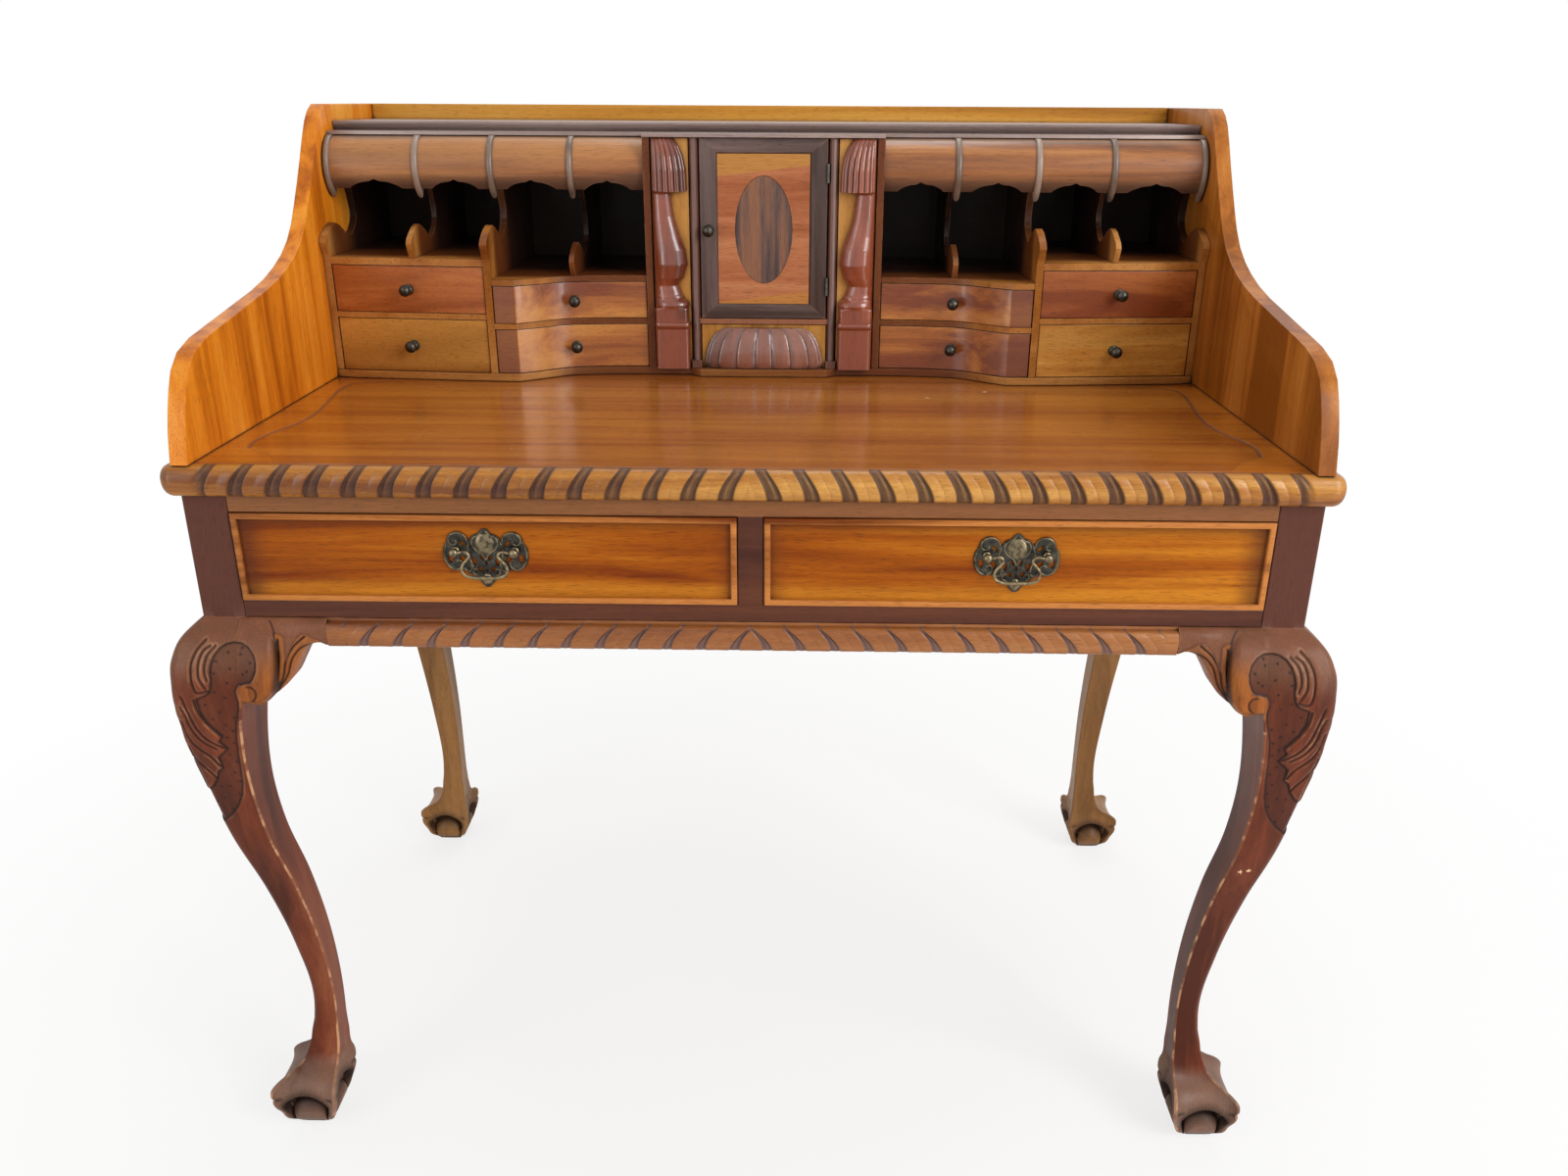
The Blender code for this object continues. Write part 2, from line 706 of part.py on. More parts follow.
def moulding_ring(place, outward, reach, low, high, lean, foot):
    """A thumb-shaped section at a place on the case. Lean bends its upper part along the moulding."""
    middle, half = (low + high) / 2, (high - low) / 2
    along = Vector((-outward.y, outward.x, 0.0))
    ring = []
    for degrees in NOSE_ANGLES:
        angle = math.radians(degrees)
        bulge = abs(math.cos(angle)) ** 0.7 * reach
        rise = math.sin(angle)
        point = place + outward * (foot + bulge) + along * lean * ((1 + rise) / 2) ** 2
        ring.append((point.x, point.y, middle + half * rise))
    return ring


def lobe_stations(first, pitch, last):
    """Places along half a gadrooned moulding, each with its share of the full reach."""
    stations = []
    middle = first
    while middle + BAND_WIDTH / 2 < last:
        low, high = middle - BAND_WIDTH / 2, middle + BAND_WIDTH / 2
        stations += [(low, 1.0), (low + BAND_SLOPE, BAND_SHARE), (high - BAND_SLOPE, BAND_SHARE), (high, 1.0)]
        middle += pitch
    return stations


def add_edge_moulding(wood):
    low, high = CASE_TOP + SEAT, SURFACE
    half = lobe_stations(EDGE_FIRST, EDGE_PITCH, HALF_WIDTH)
    stations = [(-at, share) for at, share in reversed(half)] + half
    outward = Vector((0, -1, 0))
    rings = [moulding_ring(Vector((-HALF_WIDTH, BACK, 0)), Vector((-1, 0, 0)), EDGE_REACH, low, high, 0.0, SEAT)]
    for step in range(CORNER_STEPS):
        angle = math.pi / 2 * step / CORNER_STEPS
        corner = Vector((-math.cos(angle), -math.sin(angle), 0))
        rings.append(moulding_ring(Vector((-HALF_WIDTH, FRONT, 0)), corner, EDGE_REACH, low, high, 0.0, SEAT))
    for at, share in stations:
        lean = -EDGE_LEAN * max(-1.0, min(1.0, at / EDGE_FIRST))
        lean *= min(1.0, (HALF_WIDTH - abs(at)) / EDGE_PITCH)
        rings.append(moulding_ring(Vector((at, FRONT, 0)), outward, EDGE_REACH * share, low, high, lean, SEAT))
    for step in range(1, CORNER_STEPS + 1):
        angle = math.pi / 2 * (1 - step / CORNER_STEPS)
        corner = Vector((math.cos(angle), -math.sin(angle), 0))
        rings.append(moulding_ring(Vector((HALF_WIDTH, FRONT, 0)), corner, EDGE_REACH, low, high, 0.0, SEAT))
    rings.append(moulding_ring(Vector((HALF_WIDTH, BACK, 0)), Vector((1, 0, 0)), EDGE_REACH, low, high, 0.0, SEAT))
    add_piece("edge_moulding", loft(rings), wood)


def add_apron_moulding(wood):
    reach = HALF_WIDTH - POST_SIDE - BRACKET_REACH - SEAT
    half = lobe_stations(APRON_PITCH / 2, APRON_PITCH, reach - BAND_WIDTH)
    stations = [(-reach, 1.0)] + [(-at, share) for at, share in reversed(half)] + half + [(reach, 1.0)]
    low, high = LEG_HEIGHT - APRON_DROP, LEG_HEIGHT - APRON_FILLET
    rings = []
    for at, share in stations:
        lean = -APRON_LEAN * max(-1.0, min(1.0, 2 * at / APRON_PITCH))
        lean *= min(1.0, (reach - abs(at)) / APRON_PITCH)
        ring = moulding_ring(Vector((at, FRONT, 0)), Vector((0, -1, 0)), APRON_REACH * share, low, high, lean, 0.0)
        ring.append((at, FRONT, LEG_HEIGHT - SEAT))
        ring.append((at, FRONT + APRON_BACK, LEG_HEIGHT - SEAT))
        ring.append((at, FRONT + APRON_BACK, low))
        rings.append(ring)
    add_piece("apron_moulding", loft(rings), wood)


def rectangle_ring(x, z, inset, y):
    low_x, high_x = min(x) + inset, max(x) - inset
    low_z, high_z = z[0] + inset, z[1] - inset
    return [(low_x, y, low_z), (high_x, y, low_z), (high_x, y, high_z), (low_x, y, high_z)]


def tray(outer, inner, bottom, floor, top):
    """An open box from the plans of its outside and its inside."""
    rings = [[(x, y, bottom) for x, y in outer], [(x, y, top) for x, y in outer]]
    rings += [[(x, y, top) for x, y in inner], [(x, y, floor) for x, y in inner]]
    return loft(rings)


def rectangle_plan(x, y, wall=0.0, front_wall=None):
    low_x, high_x = min(x) + wall, max(x) - wall
    low_y, high_y = y[0] + (wall if front_wall is None else front_wall), y[1] - wall
    return [(low_x, low_y), (high_x, low_y), (high_x, high_y), (low_x, high_y)]


def bail_path(centre, axis_y, axis_z):
    """The bail's middle line from one post round to the other, in world places."""
    start = (POST_SPACING / 2 - POST_RADIUS - SEAT) / BAIL_HALF_WIDTH
    along, lift = BAIL_NECK_SHARES
    knots = ((start, 0.0), (mixed(start, BAIL_SHARES[0][0], along), lift)) + BAIL_SHARES
    half = spline(knots, 2)
    points = [(-x, z) for x, z in half] + list(reversed(half[:-1]))
    return [(centre + x * BAIL_HALF_WIDTH, axis_y, axis_z - z * BAIL_DROP) for x, z in points]


def add_pull(hand, centre, middle_z, face, drawer, brass):
    """The batwing plate with its two posts, and the bail that swings between them."""
    axis_z = middle_z + PULL_ABOVE_CENTRE
    front = face - SEAT - PULL_PLATE
    half = [(x * PULL_WIDTH / 2, z * (PULL_RISE if z > 0 else PULL_DROP)) for x, z in PLATE_SHARES]
    outline = half + [(-x, z) for x, z in reversed(half[1:-1])]
    outlines = [[(centre + x, axis_z + z) for x, z in outline]]
    width = PULL_HOLE_WIDTH_SHARE
    for across, up in PULL_HOLE_SHARES:
        ring = ((width, 0.0), (0.0, 1.0), (-width, 0.0), (0.0, -1.0))
        outlines.append([(centre + PULL_HOLE * (across + x), axis_z + PULL_HOLE * (up + z)) for x, z in ring])
    plate = add_piece(f"{hand}_pull_plate", pierced_sheet(outlines, front, face - SEAT), brass, drawer)
    for side in (-1, 1):
        post = turned(PULL_POST_SHARES, POST_LENGTH, POST_RADIUS, TURNED_SIDES)
        root = (centre + side * POST_SPACING / 2, front + PULL_PLATE / 2, axis_z)
        add_tool(plate, moved(post, root), "UNION")
    axis_y = front - BAIL_AXIS_OUT
    swing = add_body(f"{hand}_bail_swing", (centre, axis_y, axis_z), drawer)
    add_piece(f"{hand}_bail", tube(bail_path(centre, axis_y, axis_z), BAIL_RADIUS, BAIL_SIDES), brass, swing)


def add_large_drawers(wood, plain_wood, brass):
    face = FRONT + FIELD_RECESS
    back = FRONT + DRAWER_FRONT
    bead = FRONT - BEAD_PROUD
    for side, hand in ((-1, "left"), (1, "right")):
        x = (side * (STILE_WIDTH / 2 + RUNNING), side * (OPENING_SIDE - RUNNING))
        z = (OPENING_BOTTOM + SEAT, OPENING_TOP - RUNNING)
        drawer = add_body(f"{hand}_drawer_slide")
        rings = [rectangle_ring(x, z, 0.0, back), rectangle_ring(x, z, 0.0, bead + BEAD_ROUND)]
        rings += [rectangle_ring(x, z, BEAD_ROUND, bead), rectangle_ring(x, z, BEAD_WIDTH - BEAD_ROUND, bead)]
        rings += [rectangle_ring(x, z, BEAD_WIDTH, bead + BEAD_ROUND), rectangle_ring(x, z, BEAD_WIDTH, face)]
        add_piece(f"{hand}_drawer_front", loft(rings), wood, drawer)
        y = (back + SEAT, BACK - PANEL_RECESS - BACK_PANEL - DRAWER_BOX_SPARE)
        plans = (rectangle_plan(x, y), rectangle_plan(x, y, DRAWER_WALL))
        form = tray(*plans, z[0], z[0] + DRAWER_BOTTOM, z[0] + DRAWER_BOX_HEIGHT)
        add_piece(f"{hand}_drawer_box", form, plain_wood, drawer)
        centre = side * (STILE_WIDTH / 2 + OPENING_SIDE) / 2
        add_pull(hand, centre, (z[0] + z[1]) / 2, face, drawer, brass)


def add_gallery_boards(wood, dark_wood):
    depth = HALF_DEPTH * 2 + SIDE_BOARD_FORWARD
    start = FRONT - SIDE_BOARD_FORWARD
    edge = [(start + y * depth, SURFACE + SEAT + z * (GALLERY_HEIGHT - SEAT)) for y, z in spline(OGEE_SHARES, 3)]
    outline = edge + [(BACK, GALLERY_EDGE), (BACK, SURFACE + SEAT)]
    for side, hand in ((-1, "left"), (1, "right")):
        span = sorted((side * INNER_HALF, side * HALF_WIDTH))
        add_piece(f"{hand}_gallery_side", prism(outline, "x", *span), wood)
    half = INNER_HALF - SEAT
    add_piece("gallery_back", block((-half, half), (GALLERY_BACK, BACK), (SURFACE + SEAT, GALLERY_EDGE)), wood)
    back = GALLERY_BACK - SEAT
    shaped = [(x, gallery_front(x) - BASE_REVEAL) for x in front_places(BREAK_HALF, half)]
    shaped += [(COLUMN_INNER, POST_LINE - BASE_BREAK)]
    plan = [(-x, y) for x, y in shaped] + list(reversed(shaped)) + [(half, back), (-half, back)]
    add_piece("gallery_base", prism(plan, "z", SURFACE + SEAT, BASE_TOP), wood)
    front = CANOPY_Y - TOP_OVERHANG
    breakfront = POST_LINE - 2 * BASE_REVEAL
    step = UPRIGHT_AT + PARTITION / 2
    plan = [(-half, front), (-step, front), (-step, breakfront), (step, breakfront)]
    plan += [(step, front), (half, front), (half, back), (-half, back)]
    board = add_piece("gallery_top", prism(plan, "z", SOFFIT, SOFFIT + TOP_BOARD), dark_wood)
    lip = CANOPY_Y - TOP_OVERHANG + CORNICE_SET_BACK
    floor, top = SOFFIT + TOP_BOARD, SOFFIT + TOP_BOARD + CORNICE_HEIGHT
    fillet, flatness = COVE_SHARES
    section = [(lip, top), (lip, top - fillet * CORNICE_COVE)]
    for step in range(1, COVE_STEPS):
        rise = math.sin(math.pi / 2 * step / COVE_STEPS)
        section.append((lip + CORNICE_COVE * rise, floor + flatness * CORNICE_COVE * (1 - rise)))
    low = floor - TOP_BOARD / 2
    section += [(lip + CORNICE_COVE, low), (back - SEAT, low), (back - SEAT, top)]
    add_tool(board, prism(section, "x", SEAT - half, half - SEAT), "UNION")


def shaped_edge(front, shelf):
    """The low peak in front, the notch behind it and the hollow rise to the canopy."""
    return [(front + PEAK_DEPTH * y, shelf + PEAK_HEIGHT * z) for y, z in spline(PEAK_SHARES, 2)]


def divider_outline(front, bottom, shelf):
    back = GALLERY_BACK - SEAT
    start = [(front, bottom)] if bottom < shelf - TONGUE else []
    edge = start + shaped_edge(front, max(shelf, bottom))
    behind_canopy = CANOPY_Y + SEAT
    return edge + [(behind_canopy, SOFFIT - SEAT), (back, SOFFIT - SEAT), (back, bottom)]


def board_plan(low, high, side, set_back):
    """The plan of a shelf between two places from the middle, whose front follows the gallery's."""
    back = GALLERY_BACK - SEAT - TONGUE
    front = [(side * x, gallery_front(x) + set_back) for x in front_places(low, high)]
    return front + [(side * low, back), (side * high, back)]


def add_pigeonholes(wood):
    """On each side the partitions, shelves and drawer rails, housed into each other as one carcase."""
    for side, hand in ((-1, "left"), (1, "right")):
        def plate(at, thickness, outline):
            span = sorted((side * (at - thickness / 2), side * (at + thickness / 2)))
            return prism(outline, "x", *span)

        bottom = BASE_TOP + SEAT
        front = gallery_front(MAIN_PARTITION_AT) - PARTITION_REVEAL
        outline = divider_outline(front, bottom, OUTER_SHELF_TOP)
        frame = add_piece(f"{hand}_pigeonhole_frame", plate(MAIN_PARTITION_AT, PARTITION, outline), wood)
        front = gallery_front(END_PANEL_AT) - PARTITION_REVEAL
        add_tool(frame, plate(END_PANEL_AT, PARTITION, divider_outline(front, bottom, OUTER_SHELF_TOP)), "UNION")
        front = POST_LINE - 2 * PARTITION_REVEAL
        upright = [(front, bottom), (front, SOFFIT - SEAT)]
        upright += [(GALLERY_BACK - SEAT, SOFFIT - SEAT), (GALLERY_BACK - SEAT, bottom)]
        add_tool(frame, plate(UPRIGHT_AT, PARTITION, upright), "UNION")
        bays = (
            (MAIN_PARTITION_AT, END_PANEL_AT, OUTER_LOWER_DRAWER, OUTER_SHELF_TOP, SHELF),
            (UPRIGHT_AT, MAIN_PARTITION_AT, INNER_LOWER_DRAWER, INNER_SHELF_TOP, RAIL),
        )
        housed = PARTITION / 2 - TONGUE
        for low, high, drawer, shelf, thickness in bays:
            plan = board_plan(low + housed, high - housed, side, 0.0)
            rail = BASE_TOP + drawer
            add_tool(frame, prism(plan, "z", rail, rail + RAIL), "UNION")
            add_tool(frame, prism(plan, "z", shelf - thickness, shelf), "UNION")
        for at, shelf in ((OUTER_DIVIDER_AT, OUTER_SHELF_TOP), (INNER_DIVIDER_AT, INNER_SHELF_TOP)):
            outline = divider_outline(gallery_front(at) + PARTITION_REVEAL, shelf - TONGUE, shelf)
            add_tool(frame, plate(at, DIVIDER, outline), "UNION")


def canopy_ring(x, proud, drop):
    """The canopy's section at a place: its rounded face, standing proud by so much, and its back."""
    outer, inner = CANOPY_RADIUS + proud, CANOPY_RADIUS - CANOPY_BOARD
    low = CANOPY_Z - (CANOPY_DROP - CANOPY_RADIUS) - drop
    bottom = math.pi - math.asin((low - CANOPY_Z) / CANOPY_RADIUS)
    ring = []
    ends = (
        (outer, math.pi / 2, bottom, 4),
        (inner, bottom, math.pi / 2, 2),
    )
    for radius, start, end, steps in ends:
        for step in range(steps + 1):
            angle = mixed(start, end, step / steps)
            z = min(CANOPY_Z + radius * math.sin(angle), SOFFIT - SEAT)
            ring.append((x, CANOPY_Y + radius * math.cos(angle), z))
    return ring


def scallop(share):
    """How far the valance rises at this share of a bay: flat by the ribs, a pointed ogee in the middle."""
    outward = abs(share - 0.5) * 2
    if outward > SCALLOP_SHARE:
        return 0.0
    return SCALLOP_RISE * (1 - outward / SCALLOP_SHARE) ** 0.6


def add_canopies(wood):
    low = UPRIGHT_AT + PARTITION / 2 + SEAT
    high = INNER_HALF - SEAT
    ribs = (INNER_DIVIDER_AT, MAIN_PARTITION_AT, OUTER_DIVIDER_AT)
    reach = RIB_WIDTH / 2
    bays = [low] + [at for rib in ribs for at in (rib - reach, rib + reach)] + [high - RIB_WIDTH, high]
    for side, hand in ((-1, "left"), (1, "right")):
        rings = []
        for start, end in zip(bays[0:-1:2], bays[1::2]):
            for share in SCALLOP_PLACE_SHARES:
                rings.append(canopy_ring(side * mixed(start, end, share), 0.0, -scallop(share)))
            if end == high:
                continue
            edges = (RIB_DRAFT, RIB_ROUND, RIB_WIDTH - RIB_ROUND, RIB_WIDTH - RIB_DRAFT)
            for offset, proud in zip(edges, (RIB_SIDE_SHARE, 1.0, 1.0, RIB_SIDE_SHARE)):
                rings.append(canopy_ring(side * (end + offset), RIB_PROUD * proud, RIB_DROP))
        add_piece(f"{hand}_canopy", loft(rings), wood)


def knob_form():
    return turned(KNOB_SHARES, KNOB_LENGTH, KNOB_RADIUS, TURNED_SIDES)


def add_small_drawer(name, low, high, bottom, height, side, wood, brass):
    """A drawer whose front follows the gallery's, and its knob square to that front."""
    low, high = low + RUNNING, high - RUNNING
    z = (bottom + SEAT, bottom + height - RUNNING)
    back = GALLERY_BACK - SMALL_BOX_SPARE
    body = add_body(f"{name}_slide")
    places = front_places(low, high)
    outer = [(side * x, gallery_front(x) + PARTITION_REVEAL) for x in places]
    inner = []
    for x in places:
        inside = mixed(low + SMALL_WALL, high - SMALL_WALL, (x - low) / (high - low))
        inner.append((side * inside, gallery_front(x) + PARTITION_REVEAL + SMALL_FRONT))
    outer += [(side * low, back), (side * high, back)]
    inner += [(side * (low + SMALL_WALL), back - SMALL_WALL), (side * (high - SMALL_WALL), back - SMALL_WALL)]
    add_piece(name, tray(outer, inner, z[0], z[0] + SMALL_BOTTOM, z[1]), wood, body)
    at = (low + high) / 2
    spread = KNOB_RADIUS
    rise = gallery_front(at + spread) - gallery_front(at - spread)
    turn = math.atan2(side * rise, 2 * spread)
    seat = (gallery_front(at + spread) + gallery_front(at - spread)) / 2 + PARTITION_REVEAL - KNOB_SEAT
    place = (side * at, min(seat, gallery_front(at) + PARTITION_REVEAL - KNOB_SEAT), (z[0] + z[1]) / 2)
    add_piece(f"{name}_knob", moved(knob_form(), place, turn), brass, body)


def add_small_drawers(wood, brass):
    post = UPRIGHT_AT + PARTITION / 2
    inner_wall = MAIN_PARTITION_AT - PARTITION / 2
    outer_wall = MAIN_PARTITION_AT + PARTITION / 2
    end = END_PANEL_AT - PARTITION / 2
    rows = (
        ("outer_lower", outer_wall, end, BASE_TOP, OUTER_LOWER_DRAWER),
        ("outer_upper", outer_wall, end, BASE_TOP + OUTER_LOWER_DRAWER + RAIL, OUTER_UPPER_DRAWER),
        ("inner_lower", post, inner_wall, BASE_TOP, INNER_LOWER_DRAWER),
        ("inner_upper", post, inner_wall, BASE_TOP + INNER_LOWER_DRAWER + RAIL, INNER_UPPER_DRAWER),
    )
    for side, hand in ((-1, "left"), (1, "right")):
        for name, low, high, bottom, height in rows:
            add_small_drawer(f"{hand}_{name}_drawer", low, high, bottom, height, side, wood, brass)


def add_prospect_surround(dark_wood):
    """The two half-round columns on their partitions, their foot blocks and the sill between them."""
    back = GALLERY_BACK - SEAT
    radius = COLUMN_WIDTH / 2
    centre = POST_LINE - COLUMN_FORWARD + radius
    surround = None
    for side in (-1, 1):
        plan = [(side * COLUMN_AT + radius, back), (side * COLUMN_AT - radius, back)]
        for step in range(7):
            angle = math.pi * (1 + step / 6)
            plan.append((side * COLUMN_AT + radius * math.cos(angle), centre + radius * math.sin(angle)))
        column = prism(plan, "z", BASE_TOP + SEAT, SOFFIT - SEAT)
        if surround:
            add_tool(surround, column, "UNION")
        else:
            surround = add_piece("prospect_surround", column, dark_wood)
        reach = radius + SEAT
        front = POST_LINE - COLUMN_FORWARD - FOOT_BLOCK_FORWARD
        span = (side * COLUMN_AT - reach, side * COLUMN_AT + reach)
        foot = block(span, (front, POST_LINE), (BASE_TOP + SEAT, BASE_TOP + FOOT_BLOCK_HEIGHT))
        add_tool(surround, foot, "UNION")
    reach = COLUMN_INNER + TONGUE
    sill = (BASE_TOP + SILL_AT, BASE_TOP + SILL_AT + SILL)
    add_tool(surround, block((-reach, reach), (POST_LINE - 2 * PARTITION_REVEAL, back - TONGUE), sill), "UNION")


def oval(half_width, half_height, centre_z, sides=28):
    ring = []
    for step in range(sides):
        angle = 2 * math.pi * step / sides
        ring.append((half_width * math.cos(angle), centre_z + half_height * math.sin(angle)))
    return ring


def add_hinge(name, middle, door, brass):
    """The knuckle of a butt hinge, with the leaf that is let into the door's edge."""
    low, high = middle - HINGE_LENGTH / 2, middle + HINGE_LENGTH / 2
    ring = []
    for step in range(8):
        angle = math.pi / 4 * step
        ring.append((HINGE_X + KNUCKLE_RADIUS * math.cos(angle), HINGE_Y + KNUCKLE_RADIUS * math.sin(angle)))
    hinge = add_piece(name, prism(ring, "z", low, high), brass, door)
    leaf = (DOOR_HALF + SEAT, DOOR_HALF + SEAT + HINGE_LEAF)
    add_tool(hinge, block(leaf, (HINGE_Y, HINGE_Y + HINGE_LEAF_DEPTH), (low + SEAT, high - SEAT)), "UNION")


def add_door(dark_wood, amber_wood, brass):
    door = add_body("door_swing", (HINGE_X, HINGE_Y, DOOR_BOTTOM))
    x = (-DOOR_HALF, DOOR_HALF)
    z = (DOOR_BOTTOM, DOOR_TOP)
    inside_x = (-DOOR_HALF + DOOR_FRAME, DOOR_HALF - DOOR_FRAME)
    inside_z = (DOOR_BOTTOM + DOOR_RAIL, DOOR_TOP - DOOR_RAIL)
    back = DOOR_FACE + DOOR_THICKNESS
    rings = [
        rectangle_ring(x, z, 0.0, back),
        rectangle_ring(x, z, 0.0, DOOR_FACE + SEAT),
        rectangle_ring(x, z, SEAT, DOOR_FACE),
        rectangle_ring(inside_x, inside_z, -DOOR_CHAMFER, DOOR_FACE),
        rectangle_ring(inside_x, inside_z, 0.0, DOOR_FACE + DOOR_CHAMFER),
        rectangle_ring(inside_x, inside_z, 0.0, back),
    ]
    add_piece("door_frame", loft(rings, closed=True), dark_wood, door)
    face = DOOR_FACE + DOOR_PANEL_RECESS
    board = [rectangle_ring(inside_x, inside_z, SEAT, y) for y in (face, face + DOOR_PANEL)]
    panel = add_piece("door_panel", loft(board), amber_wood, door)
    middle = (inside_z[0] + inside_z[1]) / 2
    recess = oval(OVAL_HALF_WIDTH + SEAT, OVAL_HALF_HEIGHT + SEAT, middle)
    add_tool(panel, prism(recess, "y", face - OVERRUN, face + OVAL_THICKNESS), "DIFFERENCE")
    inlay = oval(OVAL_HALF_WIDTH, OVAL_HALF_HEIGHT, middle)
    add_piece("door_oval_inlay", prism(inlay, "y", face, face + OVAL_THICKNESS - SEAT), dark_wood, door)
    knob_x = -DOOR_HALF + DOOR_FRAME / 2
    add_piece("door_knob", moved(knob_form(), (knob_x, DOOR_FACE - SEAT, middle)), brass, door)
    add_hinge("upper_door_hinge", DOOR_TOP - HINGE_FROM_END, door, brass)
    add_hinge("lower_door_hinge", DOOR_BOTTOM + HINGE_FROM_END, door, brass)


def lobed_half_ring(centre_x, face, half_width, depth, square, lobe, z, segments):
    """Half of a rounded plan in front of a flat face, its edge drawn in between lobes."""
    ring = []
    for step in range(segments + 1):
        angle = math.pi * step / segments
        across, out = math.cos(angle), math.sin(angle)
        size = (abs(across) ** square + abs(out) ** square) ** (-1 / square)
        drawn_in = 1 - lobe if step % 2 == 0 else 1.0
        x = centre_x + half_width * size * across * (drawn_in if 0 < step < segments else 1.0)
        ring.append((x, face - depth * size * out * drawn_in, z))
    return ring


def add_shell_drawer(amber_wood, wood):
    body = add_body("shell_drawer_slide")
    half = COLUMN_INNER - RUNNING
    z = (BASE_TOP + SEAT, BASE_TOP + SILL_AT - RUNNING)
    y = (DOOR_FACE + PARTITION_REVEAL, GALLERY_BACK - SMALL_BOX_SPARE)
    plans = (rectangle_plan((-half, half), y), rectangle_plan((-half, half), y, SMALL_WALL, SMALL_FRONT))
    add_piece("shell_drawer", tray(*plans, z[0], z[0] + SMALL_BOTTOM, z[1]), amber_wood, body)
    rings = []
    for height, width, out in SHELL_SHARES:
        at = z[0] + SEAT + SHELL_HEIGHT * height
        half_width, depth = SHELL_HALF_WIDTH * width, SHELL_DEPTH * out
        facts = (half_width, depth, SHELL_SQUARENESS, SHELL_LOBE_SHARE, at, SHELL_SEGMENTS)
        rings.append(lobed_half_ring(0.0, y[0] - SEAT, *facts))
    add_piece("carved_shell", loft(rings), wood, body)


def add_document_drawers(amber_wood, wood):
    low, high = COLUMN_OUTER + RUNNING, UPRIGHT_AT - PARTITION / 2 - RUNNING
    z = (BASE_TOP + SEAT, SOFFIT - RUNNING)
    face = POST_LINE + PARTITION_REVEAL
    y = (face, GALLERY_BACK - SMALL_BOX_SPARE)
    for side, hand in ((-1, "left"), (1, "right")):
        body = add_body(f"{hand}_document_drawer_slide")
        x = (side * low, side * high)
        plans = (rectangle_plan(x, y), rectangle_plan(x, y, DOCUMENT_WALL, DOCUMENT_FRONT))
        add_piece(f"{hand}_document_drawer", tray(*plans, z[0], z[0] + SMALL_BOTTOM, z[1]), amber_wood, body)
        # The side next to the upright stays straight, and the other side has the baluster's profile.
        straight = (low + high + PILASTER_WIDTH) / 2
        rings = []
        for height, width, out, square, lobe in PILASTER_SHARES:
            at = z[0] + SEAT + (z[1] - z[0] - 2 * SEAT) * height
            half_width, depth = width * PILASTER_WIDTH / 2, out * PILASTER_DEPTH
            centre = side * (straight - half_width)
            rings.append(lobed_half_ring(centre, face - SEAT, half_width, depth, square, lobe, at, LOBE_SEGMENTS))
        add_piece(f"{hand}_pilaster", loft(rings), wood, body)


def main():
    clear_scene()
    mahogany = make_material("mahogany", (0.30, 0.085, 0.028), 0.35)
    dark_mahogany = make_material("dark_mahogany", (0.12, 0.04, 0.025), 0.4)
    amber_mahogany = make_material("amber_mahogany", (0.42, 0.18, 0.045), 0.35)
    plain_wood = make_material("plain_wood", (0.33, 0.19, 0.09), 0.6)
    antique_brass = make_material("antique_brass", (0.13, 0.12, 0.09), 0.35, 1.0)
    add_legs(mahogany)
    add_case(mahogany, dark_mahogany, plain_wood)
    add_edge_moulding(amber_mahogany)
    add_apron_moulding(mahogany)
    add_large_drawers(mahogany, plain_wood, antique_brass)
    add_gallery_boards(amber_mahogany, dark_mahogany)
    add_pigeonholes(mahogany)
    add_canopies(mahogany)
    add_small_drawers(mahogany, antique_brass)
    add_prospect_surround(dark_mahogany)
    add_door(dark_mahogany, amber_mahogany, antique_brass)
    add_shell_drawer(amber_mahogany, mahogany)
    add_document_drawers(amber_mahogany, mahogany)


main()
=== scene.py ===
import json
import math

import bmesh
import bpy
import numpy as np
from mathutils import Matrix, Vector


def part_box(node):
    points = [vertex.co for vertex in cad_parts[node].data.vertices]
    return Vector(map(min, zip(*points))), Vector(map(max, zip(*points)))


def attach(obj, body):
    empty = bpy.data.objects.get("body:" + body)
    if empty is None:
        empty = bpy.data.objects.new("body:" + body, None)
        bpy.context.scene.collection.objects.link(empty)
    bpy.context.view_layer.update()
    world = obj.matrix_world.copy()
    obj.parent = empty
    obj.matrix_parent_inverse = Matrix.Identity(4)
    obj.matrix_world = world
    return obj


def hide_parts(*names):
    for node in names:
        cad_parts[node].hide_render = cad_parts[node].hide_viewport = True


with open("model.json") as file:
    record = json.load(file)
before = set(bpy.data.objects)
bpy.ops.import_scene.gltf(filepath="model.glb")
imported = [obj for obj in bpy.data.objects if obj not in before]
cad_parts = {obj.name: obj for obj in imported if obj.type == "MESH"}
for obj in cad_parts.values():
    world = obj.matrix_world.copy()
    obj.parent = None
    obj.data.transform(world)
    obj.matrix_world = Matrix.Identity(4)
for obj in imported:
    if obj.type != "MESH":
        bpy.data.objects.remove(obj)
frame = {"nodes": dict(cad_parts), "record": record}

HANDS = ("left", "right")
SIDE_OF = {"left": -1, "right": 1}
MILLIMETRE = 0.001
WELD = 0.00001

# Camera, at the photograph's place
PHOTO_WIDTH_PX = 1600
FOCAL_LENGTH_PX = 1246.75
SENSOR_WIDTH = 36.0
CAMERA_PLACE = (0.0461, -1.3942, 1.1087)
CAMERA_YAW = 0.76
CAMERA_PITCH = 21.80
CAMERA_ROLL = 0.31

